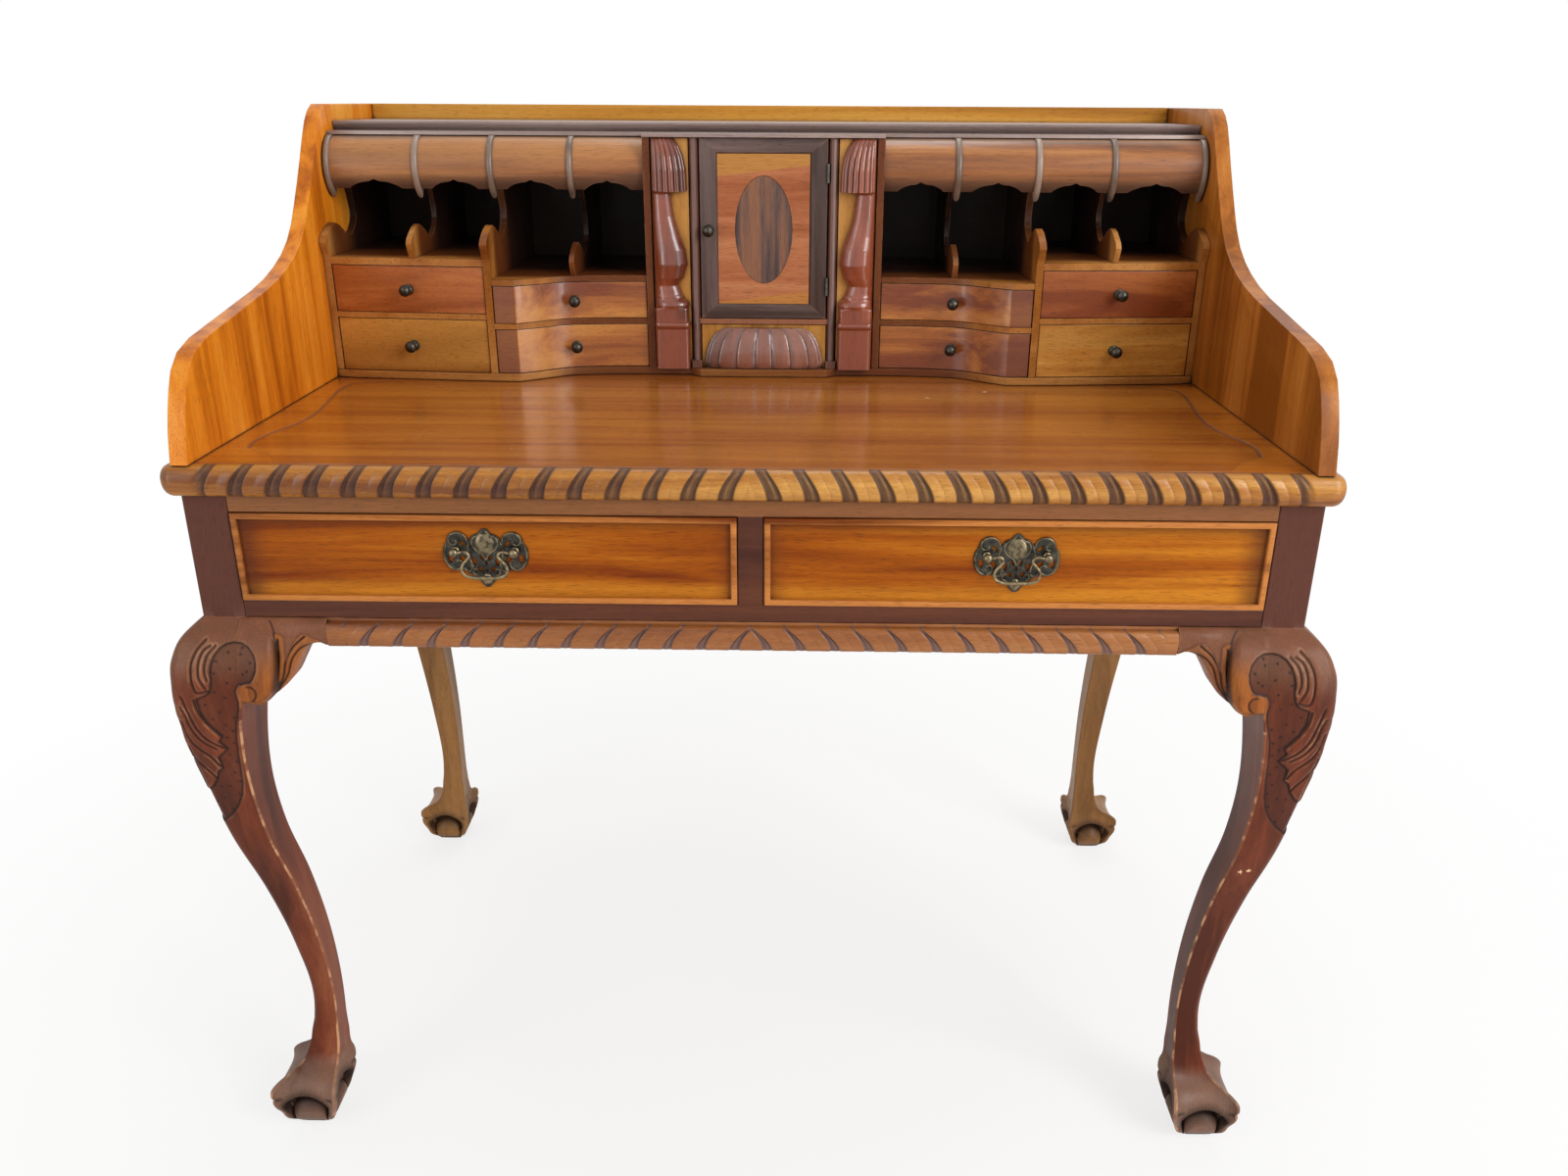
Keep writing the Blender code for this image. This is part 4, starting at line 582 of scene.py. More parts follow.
def curve_through(rows, places):
    """Smooth values of a table's columns at these places of its falling first column."""
    table = np.array(rows, float)[::-1]
    knots, values = table[:, 0], table[:, 1:]
    slopes = np.gradient(values, knots, axis=0)
    at = np.clip(np.asarray(places, float), knots[0], knots[-1])
    index = np.clip(np.searchsorted(knots, at) - 1, 0, len(knots) - 2)
    gap = (knots[index + 1] - knots[index])[:, None]
    share = (at - knots[index])[:, None] / gap
    first, last = values[index], values[index + 1]
    rise, fall = slopes[index] * gap, slopes[index + 1] * gap
    square, cube = share**2, share**3
    result = (2 * cube - 3 * square + 1) * first + (cube - 2 * square + share) * rise
    result += (3 * square - 2 * cube) * last + (cube - square) * fall
    return result.T


def smooth_step(value, low, high):
    """0 below low, 1 above high and smooth between them."""
    share = np.clip((value - low) / (high - low), 0.0, 1.0)
    return share * share * (3 - 2 * share)


def near(distance, reach):
    """1 on a line, and falling to nothing at about twice this reach from it."""
    return np.exp(-((distance / reach) ** 2))


def square_section(half, radii, face, counts):
    """Rings of a rounded square: face(t, quarter) is how far each face lies out, from its middle to its corner."""
    xs, ys = [], []
    for quarter in range(4):
        radius = radii[quarter]
        arc = half - radius
        turn = math.pi / 2 * quarter
        here, after = counts[quarter], counts[(quarter + 1) % 4]
        share = np.arange(here) / here
        parts = [(face(share, quarter), arc[:, None] * share)]
        bend = np.linspace(0.0, 1.0, counts[4 + quarter]) * math.pi / 2
        parts.append((arc[:, None] + radius[:, None] * np.cos(bend), arc[:, None] + radius[:, None] * np.sin(bend)))
        share = np.arange(after - 1, 0, -1) / after
        parts.append((arc[:, None] * share, face(share, (quarter + 1) % 4)))
        x = np.concatenate([part[0] for part in parts], axis=1)
        y = np.concatenate([part[1] for part in parts], axis=1)
        xs.append(x * math.cos(turn) - y * math.sin(turn))
        ys.append(x * math.sin(turn) + y * math.cos(turn))
    return np.concatenate(xs, axis=1), np.concatenate(ys, axis=1)


def shaft_rings(heights, counts):
    """The shaft's rings, from the foot to the post: how far in from the case corner, both ways."""
    share = heights / LEG_HEIGHT
    outer, inner, edge, crown = curve_through(LEG_SHARES, share)
    out, deep = outer * KNEE_SWELL, inner * POST_SIDE
    half = (out + deep) / 2
    corner = np.maximum(edge * POST_SIDE, ARRIS_RADIUS)
    arris = np.full_like(half, ARRIS_RADIUS)

    def face(t, quarter):
        bulge = crown * POST_SIDE if quarter >= 2 else np.zeros_like(half)
        return half[:, None] + bulge[:, None] * (1 - t**2)

    across, along = square_section(half, (arris, arris, corner, arris), face, counts)
    centre = ((deep - out) / 2)[:, None]
    return across + centre, along + centre


def foot_rings(heights, counts):
    """The foot's rings, and how dark each place is painted: shade in the creases round the ball and shadow under the
    web.
    """
    share = heights / FOOT_HEIGHT
    inset, talon = curve_through(TALON_SHARES, share)
    (web,) = curve_through(WEB_SHARES, share)
    crease_at, crease_reach, crease_depth = KNUCKLE_CREASE
    crease = near(share - crease_at, crease_reach)
    half = talon * FOOT_WIDTH / 2 * (1 - crease_depth * crease)
    web = np.minimum(web * FOOT_WIDTH / 2, half)
    arris_share, least, most = FOOT_ARRIS
    radius = np.minimum(arris_share * half + least, most)
    shades = []

    def face(t, quarter):
        side = t * (half - radius)[:, None]
        claw = half[:, None] * (CLAW_ROOT + (1 - CLAW_ROOT) * smooth_step(t, *CLAW_SHARES))
        hollow = web[:, None] + (half - web)[:, None] * t**3
        dome = BALL_RADIUS**2 - side**2 - (heights[:, None] - BALL_LEVEL) ** 2
        ball = np.where(dome > 0, BALL_OUT + np.sqrt(np.maximum(dome, 0.0)), 0.0)
        joint = near(ball - claw, CLAW_LINE[0]) * (dome > 0)
        below = np.maximum(ball, claw) - CLAW_LINE[1] * joint
        arch = ARCH_SHARES[0] - ARCH_SHARES[1] * t**2
        over, under = (smooth_step(share[:, None], arch + low, arch + high) for low, high in (WEB_COVER, WEB_SHADOW))
        under = under * (1 - over)
        lip = over * (1 - smooth_step(share[:, None], arch, arch + WEB_LIP))
        clear = 1 - smooth_step(t, *SHADOW_ACROSS)
        cut = np.broadcast_to(0.8 * crease[:, None] * smooth_step(t, *CREASE_ACROSS), side.shape)
        # Painted shade: the crease where a claw meets the ball, the shadow under the web and along its lip, and the
        # crease under the knuckle.
        shade = joint * (1 - over) + (under + 0.9 * lip) * clear
        shades.append(np.clip(np.maximum(shade, cut), 0.0, 1.0))
        return np.minimum(below + (hollow - below) * over, half[:, None])

    across, along = square_section(half, (radius,) * 4, face, counts)
    dark = []
    for quarter in range(4):
        dark += [shades[2 * quarter], np.zeros((len(heights), counts[4 + quarter])), shades[2 * quarter + 1]]
    centre = (inset * FOOT_INSET)[:, None]
    return across + centre, along + centre, np.concatenate(dark, axis=1)


def leg_rings(heights, counts):
    """The leg about its case corner: points inwards from the corner, and the way round from the outer corner."""
    shaft_across, shaft_along = shaft_rings(heights, counts)
    foot_across, foot_along, dark = foot_rings(np.minimum(heights, FOOT_HEIGHT), counts)
    share = smooth_step(heights, FOOT_HEIGHT * 0.94, FOOT_HEIGHT * 1.25)[:, None]
    across = foot_across + (shaft_across - foot_across) * share
    along = foot_along + (shaft_along - foot_along) * share
    return across, along, dark * (1 - share)


def mark_points(mesh, mark, values):
    mesh.attributes.new(mark, "FLOAT", "POINT").data.foreach_set("value", np.asarray(values, np.float32).ravel())


def plain_mesh(name, points, faces, marks=None):
    """A mesh from its points and faces, with one value at each point for every mark."""
    mesh = bpy.data.meshes.new(name)
    mesh.from_pydata(np.asarray(points, float).tolist(), [], faces)
    for mark, values in (marks or {}).items():
        mark_points(mesh, mark, values)
    return mesh


def mesh_piece(name, points, faces, finish, body, nodes=(), marks=None, smooth=35.0, weld=False):
    """A closed piece from its points and faces, set on its body in place of its CAD nodes."""
    mesh = plain_mesh(name, points, faces, marks)
    form = bmesh.new()
    form.from_mesh(mesh)
    if weld:
        bmesh.ops.remove_doubles(form, verts=form.verts, dist=WELD)
    bmesh.ops.recalc_face_normals(form, faces=form.faces)
    form.to_mesh(mesh)
    form.free()
    return dress_mesh(name, mesh, finish, body, nodes, smooth)


def arrays_of(mesh):
    """A mesh's points, its faces and the glaze at its points."""
    points = np.empty(3 * len(mesh.vertices))
    mesh.vertices.foreach_get("co", points)
    faces = [tuple(face.vertices) for face in mesh.polygons]
    values = np.zeros(len(mesh.vertices), np.float32)
    if "glaze" in mesh.attributes:
        mesh.attributes["glaze"].data.foreach_get("value", values)
    return points.reshape(-1, 3), faces, values


def together(parts):
    """Several parts' points, faces and marks as one. A part without a mark is plain."""
    points, faces, marks, count = [], [], [], 0
    for part in parts:
        places, skins = part[0], part[1]
        points.append(places)
        faces += [tuple(count + corner for corner in face) for face in skins]
        marks.append(part[2] if len(part) > 2 else np.zeros(len(places)))
        count += len(places)
    return np.concatenate(points), faces, np.concatenate(marks)


def node_result(name, mesh, finish, inputs, build):
    """A mesh worked by a Geometry Nodes tree with named inputs, as a plain mesh."""
    tree = bpy.data.node_groups.new(name, "GeometryNodeTree")
    tree.interface.new_socket("Geometry", in_out="INPUT", socket_type="NodeSocketGeometry")
    sockets = {}
    for label, (kind, value) in inputs.items():
        sockets[label] = tree.interface.new_socket(label, in_out="INPUT", socket_type=kind), value
    tree.interface.new_socket("Geometry", in_out="OUTPUT", socket_type="NodeSocketGeometry")
    start, end = tree.nodes.new("NodeGroupInput"), tree.nodes.new("NodeGroupOutput")

    def add(kind, feeds=None, **settings):
        node = tree.nodes.new(kind)
        for key, value in settings.items():
            setattr(node, key, value)
        for key, value in (feeds or {}).items():
            if isinstance(value, bpy.types.NodeSocket):
                tree.links.new(value, node.inputs[key])
            else:
                node.inputs[key].default_value = value
        return node.outputs[0]

    whole = build(add, start.outputs)
    whole = add("GeometryNodeRealizeInstances", {"Geometry": whole})
    whole = add("GeometryNodeSetMaterial", {"Geometry": whole, "Material": FINISHES[finish]})
    tree.links.new(whole, end.inputs[0])
    holder = link(bpy.data.objects.new(name, mesh))
    worked = holder.modifiers.new(name, "NODES")
    worked.node_group = tree
    for label, (socket, value) in sockets.items():
        worked[socket.identifier] = value
    graph = bpy.context.evaluated_depsgraph_get()
    result = bpy.data.meshes.new_from_object(holder.evaluated_get(graph))
    holder.modifiers.remove(worked)
    bpy.data.objects.remove(holder)
    return result


def row_of(name, unit, finish, count, pitch):
    """A carved unit set side by side, and mirrored about the middle of the desk."""

    def build(add, given):
        step = add("ShaderNodeCombineXYZ", {"X": given["Pitch"]})
        line = add("GeometryNodeMeshLine", {"Count": given["Count"], "Offset": step})
        half = add("GeometryNodeInstanceOnPoints", {"Points": line, "Instance": given["Geometry"]})
        other = add("GeometryNodeTransform", {"Geometry": half, "Scale": (-1.0, 1.0, 1.0)})
        join = add("GeometryNodeJoinGeometry", {"Geometry": half})
        join.node.id_data.links.new(other, join.node.inputs["Geometry"])
        return join

    inputs = {"Count": ("NodeSocketInt", count), "Pitch": ("NodeSocketFloat", pitch)}
    return node_result(name, unit, finish, inputs, build)


def set_at(name, unit, finish, places):
    """A shaped unit set at each of these places."""
    spots = link(bpy.data.objects.new(f"{name} places", plain_mesh(f"{name} places", places, [])))

    def build(add, given):
        found = add("GeometryNodeObjectInfo", {"Object": given["Places"]}).node.outputs["Geometry"]
        return add("GeometryNodeInstanceOnPoints", {"Points": found, "Instance": given["Geometry"]})

    result = node_result(name, unit, finish, {"Places": ("NodeSocketObject", spots)}, build)
    bpy.data.objects.remove(spots)
    return arrays_of(result)


def swept(name, path, radii, finish, sides=12):
    """A round wire along a path, as thick as its radii say: by the curve's radius, and by Scale where a tube has it."""

    def build(add, given):
        curve = add("GeometryNodeMeshToCurve", {"Mesh": given["Geometry"]})
        wide = add("GeometryNodeInputNamedAttribute", {"Name": "thickness"}, data_type="FLOAT")
        wide = add("ShaderNodeMath", {0: wide, 1: given["Gauge"]}, operation="MULTIPLY")
        profile = add("GeometryNodeCurvePrimitiveCircle", {"Resolution": given["Sides"], "Radius": 1.0})
        curve = add("GeometryNodeSetCurveRadius", {"Curve": curve, "Radius": wide})
        tube = add("GeometryNodeCurveToMesh", {"Curve": curve, "Profile Curve": profile, "Fill Caps": True})
        if "Scale" in tube.node.inputs:
            tube.node.id_data.links.new(wide, tube.node.inputs["Scale"])
        return tube

    line = plain_mesh(name, path, [], {"thickness": np.broadcast_to(radii, len(path))})
    line.edges.add(len(path) - 1)
    line.edges.foreach_set("vertices", np.stack((np.arange(len(path) - 1), np.arange(1, len(path))), 1).ravel())
    inputs = {"Gauge": ("NodeSocketFloat", 1.0), "Sides": ("NodeSocketInt", sides)}
    return arrays_of(node_result(name, line, finish, inputs, build))


def dress_mesh(name, mesh, finish, body, nodes=(), smooth=35.0):
    """The mesh as a piece in its finish, riding on its body and standing for its CAD nodes."""
    mesh.materials.clear()
    mesh.materials.append(FINISHES[finish])
    mesh.shade_smooth()
    mesh.set_sharp_from_angle(angle=math.radians(smooth))
    piece = link(bpy.data.objects.new(name, mesh))
    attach(piece, body)
    if nodes:
        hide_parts(*nodes)
    slot_of(finish)
    return piece


def slot_of(finish):
    """The record's material slot that a finish belongs to."""
    if finish == "antique brass":
        return "antique_brass"
    if finish.startswith("plain"):
        return "plain_wood"
    if any(word in finish for word in ("rail", "cornice", "column", "frame", "oval")):
        return "dark_mahogany"
    if any(word in finish for word in ("amber", "panel", "gallery", "base", "moulding", "document")):
        return "amber_mahogany"
    return "mahogany"


def skin(rings, first=0, caps=True):
    """Faces over rings of equally many points, capped at the ends."""
    count, around = rings
    faces = []
    for i in range(count - 1):
        here, after = first + i * around, first + (i + 1) * around
        faces += [(here + j, here + (j + 1) % around, after + (j + 1) % around, after + j) for j in range(around)]
    if caps:
        faces.append(tuple(first + j for j in reversed(range(around))))
        faces.append(tuple(first + (count - 1) * around + j for j in range(around)))
    return faces


def at_corner(across, deep, heights, side, end):
    """Places drawn inwards from a case corner, set at the corner on this side and end of the desk."""
    return np.stack((side * (HALF_WIDTH - across), end * (HALF_DEPTH - deep), heights), axis=-1)


def to_line(places, line):
    """Distance of each place from a bent line."""
    nearest = np.full(len(places), np.inf)
    for start, stop in zip(line, line[1:]):
        start, run = np.array(start, float), np.array(stop, float) - np.array(start, float)
        share = np.clip(((places - start) @ run) / (run @ run), 0.0, 1.0)
        nearest = np.minimum(nearest, np.hypot(*(places - start - share[:, None] * run).T))
    return nearest


def within(places, outline):
    """Whether each place lies inside a closed outline."""
    x, y = places.T
    inside = np.zeros(len(places), bool)
    for (x1, y1), (x2, y2) in zip(outline, outline[1:] + outline[:1]):
        crosses = (y1 > y) != (y2 > y)
        with np.errstate(divide="ignore", invalid="ignore"):
            inside ^= crosses & (x < (x2 - x1) * (y - y1) / (y2 - y1) + x1)
    return inside


def rounded_line(knots, steps=5):
    """A smooth line through the knots."""
    knots = np.array(knots, float)
    along = np.concatenate(([0.0], np.cumsum(np.hypot(*np.diff(knots, axis=0).T))))
    places = np.interp(np.linspace(0, len(knots) - 1, (len(knots) - 1) * steps + 1), np.arange(len(knots)), along)
    table = np.column_stack((along[::-1], knots[::-1]))
    return curve_through(table, places).T


# Knee carving, in millimetres: across the front face, with this at its inner arris, and height
INNER_ARRIS = 42.0
KNEE_PANEL = [
    (15.0, 588.0), (14.8, 596.0), (16.0, 603.5), (18.5, 611.0), (23.5, 617.8), (30.0, 621.7), (37.0, 623.0),
    (44.0, 622.0), (50.5, 618.3), (55.5, 612.0), (58.0, 604.0), (57.5, 596.0), (54.5, 588.5), (51.5, 584.5),
    (47.0, 583.8), (42.0, 582.2), (39.5, 579.5), (38.3, 575.5), (39.3, 570.5), (41.0, 565.5), (41.3, 557.0),
    (40.4, 549.3), (38.4, 533.2), (38.3, 514.6), (37.8, 489.8), (36.2, 469.8), (32.6, 453.7), (25.1, 439.5),
    (15.5, 427.8), (1.2, 416.6), (-12.0, 416.6), (-12.0, 452.0), (-3.0, 458.0), (4.0, 464.0), (10.2, 472.7),
    (14.2, 483.9), (18.7, 487.8), (17.2, 501.5), (27.2, 511.2), (20.0, 520.0), (23.5, 526.5), (10.1, 541.0),
    (2.5, 554.7), (-0.5, 568.3), (9.4, 572.7), (12.5, 575.0), (13.8, 578.6),
]
KNEE_FRONDS = [
    [(-2.3, 566.8), (1.3, 554.7), (10.1, 541.0), (23.5, 525.4)],
    [(-16.4, 570.0), (-11.7, 559.0), (-5.8, 545.4), (0.1, 533.2), (12.9, 519.0), (25.0, 512.0)],
    [(-17.5, 558.0), (-13.7, 551.7), (-7.8, 536.1), (-2.2, 526.4), (5.0, 518.6), (17.0, 511.0)],
    [(-17.0, 542.0), (-12.0, 527.0), (-6.0, 516.0), (2.0, 508.0), (9.0, 502.5), (17.5, 489.8)],
    [(-12.5, 513.0), (-8.0, 500.0), (-1.0, 490.0), (7.6, 479.5), (11.1, 473.7)],
    [(-10.0, 498.0), (-7.0, 485.0), (-4.5, 470.0), (-3.3, 458.0)],
]
KNEE_CRESCENTS = [
    [(10.1, 624.4), (2.9, 616.6), (-2.6, 604.4), (-3.6, 592.2), (-2.9, 582.9), (0.3, 575.1), (12.7, 576.5)],
    [(15.2, 619.5), (9.0, 615.6), (5.0, 607.3), (3.8, 599.0), (4.1, 589.8), (9.9, 578.6)],
    [(20.0, 619.5), (13.5, 612.5), (10.4, 604.0), (10.0, 595.0), (12.0, 587.0)],
]
KNEE_VOLUTE = [(48.0, 580.5), (52.5, 579.4), (55.6, 576.2), (56.4, 572.0), (55.2, 567.6), (52.6, 564.6)]
KNEE_DOTS = [
    (32.3, 613.7), (42.5, 611.7), (21.1, 605.9), (52.0, 603.9), (34.2, 598.6), (44.5, 592.7),
    (18.6, 594.2), (30.7, 584.4), (48.5, 595.5), (27.9, 569.3), (17.8, 575.1), (8.5, 561.9), (22.5, 553.7),
    (36.3, 546.8), (34.6, 531.7), (34.5, 517.6), (28.6, 503.9), (34.2, 494.6), (29.9, 481.5),
    (33.0, 470.1), (21.8, 463.9), (28.7, 453.7), (12.2, 448.3), (2.5, 431.7), (17.0, 434.2), (28.2, 539.0),
    (28.4, 524.4), (12.7, 463.4), (3.3, 443.4), (15.5, 545.5), (44.0, 617.5),
]
# The scroll's edge over the bracket and the leaf beside it: across from the case corner, and height
SCROLL_EDGE = (
    (641.0, 64.0), (633.5, 69.5), (622.0, 72.5), (607.0, 73.2), (594.0, 72.6), (581.0, 70.5), (566.0, 65.5),
    (560.0, 61.0),
)
LEAF = [
    (60.0, 562.0), (64.0, 600.0), (66.8, 626.1), (71.7, 628.6), (77.0, 627.5), (80.8, 624.5), (80.5, 610.0),
    (80.0, 598.0), (82.5, 606.0), (86.5, 614.5), (92.0, 622.5), (97.5, 627.6), (102.5, 627.4), (109.0, 623.4),
    (121.0, 617.0), (121.0, 600.0), (100.0, 560.0),
]
LEAF_VEINS = [
    [(62.1, 565.0), (69.3, 582.0), (73.6, 602.2), (74.6, 622.0)],
    [(63.8, 565.8), (74.6, 582.1), (80.0, 600.0), (88.5, 614.5), (100.5, 625.0)],
    [(66.2, 566.7), (79.7, 585.5), (86.2, 602.4), (96.4, 613.8), (117.0, 617.5)],
]


# Widths and depths of the cuts, in millimetres: a line's narrow and wide groove, a punched dot, a volute
PANEL_DEPTH = 1.7
FROND_CUTS = ((0.8, 1.0), (2.4, 0.8))
VEIN_CUTS = ((0.7, 1.0), (2.6, 1.1))
DOT_CUT = (1.0, 0.7)
VOLUTE_CUT = (1.0, 1.3)
# How far dark glaze and painted shade reach from a cut, and where a highlight is painted beside a cut
GLAZE_AND_SHADE_REACH = 1.1
FROND_GLAZE_AND_SHADE_REACH = 1.15
HIGHLIGHT_BESIDE = (2.5, 0.7)


def groove(distance, width, depth):
    return -depth * near(distance, width)


def within_edge(places, outline):
    """How far inside a closed outline each place lies, negative outside it."""
    return np.where(within(places, outline), 1.0, -1.0) * to_line(places, outline + outline[:1])


def carve_knee(places):
    """The knee's carving at places in millimetres: height over its plain face, dark glaze with painted shade in its
    cuts, and painted highlights on its edges.
    """
    height, glaze, light = np.zeros(len(places)), np.zeros(len(places)), np.zeros(len(places))
    panel = within_edge(places, KNEE_PANEL)
    sunk = smooth_step(panel, -0.4, 1.0)
    height -= PANEL_DEPTH * sunk
    # Painted shade over the sunk ground and along its edge, and a painted highlight just outside it.
    glaze += 0.38 * sunk + 0.9 * near(panel - 0.6, 1.1)
    light += 0.12 * near(panel + 1.5, 0.8)
    raised = 1.0 - sunk
    for line in KNEE_FRONDS + KNEE_CRESCENTS:
        distance = to_line(places, rounded_line(line))
        height += raised * sum(groove(distance, *cut) for cut in FROND_CUTS)
        glaze += raised * 0.95 * near(distance, FROND_GLAZE_AND_SHADE_REACH)
        light += raised * 0.24 * near(distance - HIGHLIGHT_BESIDE[0], HIGHLIGHT_BESIDE[1])
    distance = to_line(places, rounded_line(KNEE_VOLUTE))
    height += raised * groove(distance, *VOLUTE_CUT)
    glaze += raised * 0.95 * near(distance, GLAZE_AND_SHADE_REACH)
    distance = np.min([np.hypot(*(places - dot).T) for dot in np.array(KNEE_DOTS)], axis=0)
    height += sunk * groove(distance, *DOT_CUT)
    glaze += sunk * near(distance, GLAZE_AND_SHADE_REACH)
    glaze = np.clip(glaze, 0.0, 1.0)
    return height, glaze, np.clip(light, 0.0, 0.6) * (1 - glaze)


def scroll_amber(places):
    """How amber the knee's scroll is, at places in millimetres: its roll and its volute."""
    across, level = places.T
    roll = smooth_step(across, 50.0, 57.0) * (1 - smooth_step(level, 596.0, 622.0))
    volute = smooth_step(across, 39.0, 43.0) * (1 - smooth_step(level, 582.0, 586.0))
    return np.maximum(roll, volute) * smooth_step(level, 556.0, 560.0) * (1 - within(places, KNEE_PANEL))


# Points along the half faces of a leg's four quarters, and then round its four arrises
FRONT_LEG_COUNTS = (18, 18, 32, 32, 4, 4, 12, 4)
BACK_LEG_COUNTS = (14, 14, 14, 14, 4, 4, 8, 4)
# Spacing of a leg's rings, on its knee and on its shaft
FRONT_LEG_STEPS = (0.0010, 0.0040)
BACK_LEG_STEPS = (0.003, 0.008)
KNEE_LOW = 0.410
# Levels and way across between which the front knee is carved, and levels from which the back knee is amber
CARVED_LEVELS = (0.412, LEG_HEIGHT - 0.001)
CARVED_ACROSS = 46.0
BACK_KNEE_AMBER = (0.545, 0.60)
# Arrises painted lighter as a highlight: quarter, highest level and strength
PAINTED_ARRIS_HIGHLIGHTS = ((3, LEG_HEIGHT * 0.85, 0.75), (2, FOOT_HEIGHT * 0.8, 0.55))


def leg_heights(fine, coarse):
    """Levels of a leg's rings, from its top down: close where it is carved."""
    spans = (
        (CASE_TOP - SEAT, LEG_HEIGHT, 0.015),
        (LEG_HEIGHT, KNEE_LOW, fine),
        (KNEE_LOW, 1.25 * FOOT_HEIGHT, coarse),
        (1.25 * FOOT_HEIGHT, 0.60 * FOOT_HEIGHT, 0.0020),
        (0.60 * FOOT_HEIGHT, 0.22 * FOOT_HEIGHT, 0.0008),
        (0.22 * FOOT_HEIGHT, 0.0, 0.0016),
    )
    heights = []
    for high, low, step in spans:
        heights += list(np.linspace(high, low, max(round((high - low) / step), 2), endpoint=False))
    return np.array(heights + [0.0])


def quarter_lengths(counts):
    """How many points each quarter of a leg's ring has."""
    return [counts[q] + counts[4 + q] + counts[(q + 1) % 4] - 1 for q in range(4)]


def leg_surface(heights, counts):
    """A leg's rings about its case corner, with each place's way across the front face in millimetres."""
    across, deep, dark = leg_rings(np.minimum(heights, LEG_HEIGHT), counts)
    lengths = quarter_lengths(counts)
    ridge = lengths[0] + lengths[1] + counts[2] + counts[6] // 2
    arris = sum(lengths[:3]) + counts[3]
    steps = np.hypot(np.diff(across, axis=1), np.diff(deep, axis=1))
    way = np.concatenate((np.zeros((len(heights), 1)), np.cumsum(steps, axis=1)), axis=1)
    way -= way[:, ridge : ridge + 1]
    places = (np.abs(way) - way[:, arris : arris + 1] + POST_SIDE) / MILLIMETRE
    return across, deep, places, dark


def outward_of(across, deep):
    """Unit outward direction of each ring point in its own level."""
    run_x = np.roll(across, -1, axis=1) - np.roll(across, 1, axis=1)
    run_y = np.roll(deep, -1, axis=1) - np.roll(deep, 1, axis=1)
    length = np.maximum(np.hypot(run_x, run_y), 1e-9)
    return run_y / length, -run_x / length


def painted_arris_highlights(level, counts):
    """The highlights painted along a leg's arrises: its inner one below the knee, and its front one on the foot."""
    rubbed_and_highlight = np.zeros(level.shape)
    for quarter, high, strength in PAINTED_ARRIS_HIGHLIGHTS:
        first = sum(quarter_lengths(counts)[:quarter]) + counts[quarter]
        bend = slice(first, first + counts[4 + quarter])
        rubbed_and_highlight[:, bend] = strength * (level[:, bend] <= high)
    return rubbed_and_highlight


def make_leg(hand, row):
    """A cabriole leg with its claw-and-ball foot and its post. The front ones are carved on the knee."""
    front = row == "front"
    counts = FRONT_LEG_COUNTS if front else BACK_LEG_COUNTS
    heights = leg_heights(*(FRONT_LEG_STEPS if front else BACK_LEG_STEPS))
    across, deep, places, glaze = leg_surface(heights, counts)
    level = np.repeat(heights[:, None], across.shape[1], axis=1)
    amber = smooth_step(level, *BACK_KNEE_AMBER) * (level < LEG_HEIGHT - SEAT) * (not front)
    rubbed_and_highlight = painted_arris_highlights(level, counts)
    if front:
        knee = (level < CARVED_LEVELS[1]) & (level > CARVED_LEVELS[0]) & (places < CARVED_ACROSS)
        spots = np.stack((places[knee], level[knee] / MILLIMETRE), axis=-1)
        height, dark, light = carve_knee(spots)
        out_x, out_y = outward_of(across, deep)
        across[knee] += height * MILLIMETRE * out_x[knee]
        deep[knee] += height * MILLIMETRE * out_y[knee]
        glaze[knee] = dark
        amber[knee] = scroll_amber(spots)
        rubbed_and_highlight[knee] = np.maximum(rubbed_and_highlight[knee], light)
    node = f"{hand}_{row}_leg"
    points = at_corner(across, deep, level, SIDE_OF[hand], -1 if front else 1).reshape(-1, 3)
    points = np.clip(points, *(np.array(corner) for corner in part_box(node)))
    # The marks paint shade into the foot's creases and the knee's cuts, and highlights along two arrises and beside the
    # cuts.
    marks = {"glaze": glaze, "amber": amber, "rubbed_and_highlight": rubbed_and_highlight}
    name = f"{hand}_{row}_cabriole_leg"
    mesh_piece(name, points, skin(across.shape), NODE_FINISHES[node], "desk", [node], marks, 50.0)


BRACKET_REACH = 0.079
# The bracket starts this far under the knee's face, and comes out of it between these places before the arris
BRACKET_TUCK = (0.0006, 0.0044, 0.0020)
BRACKET_BACK = 0.022
BRACKET_FLARE = 0.014
APRON_REACH = 0.009
APRON_FILLET = 0.004
BRACKET_COLUMNS = 116
BRACKET_ROWS = 84
# Way in from the bracket's tip and height of its lower edge, in millimetres
BRACKET_TIP = 121.0
BRACKET_LOW = (
    (81.6, 561.0), (59.0, 561.5), (51.0, 567.6), (43.0, 575.4), (32.4, 594.0), (23.2, 609.5), (11.1, 615.9),
    (0.0, 613.5),
)
# Share of the bracket's height, and of how proud it stands there
BRACKET_PROFILE = (
    (1.0, 0.0), (0.985, 0.12), (0.95, 0.30), (0.86, 0.62), (0.70, 0.88), (0.5, 1.0), (0.22, 1.0), (0.08, 0.82),
    (0.0, 0.35),
)
# The scroll's lower edge: its level, its rise, where it rises and where it ends
SCROLL_LOW = 0.5625
SCROLL_RISE = 0.010
SCROLL_RISE_ACROSS = (0.058, 0.071)
SCROLL_END = 0.0705
# How wide and how deep the scroll rolls off at its side and at its foot
SCROLL_ROLL = (0.008, 0.011)
SCROLL_UNDER = (0.005, 0.006)
SCROLL_EDGE_DARK = 0.0011


def rolled_off(distance, wide, deep):
    """How far a quarter-round edge falls away at this distance in from it."""
    return deep * (1 - np.sqrt(np.clip(1 - np.clip(1 - distance / wide, 0, 1) ** 2, 0, 1)))


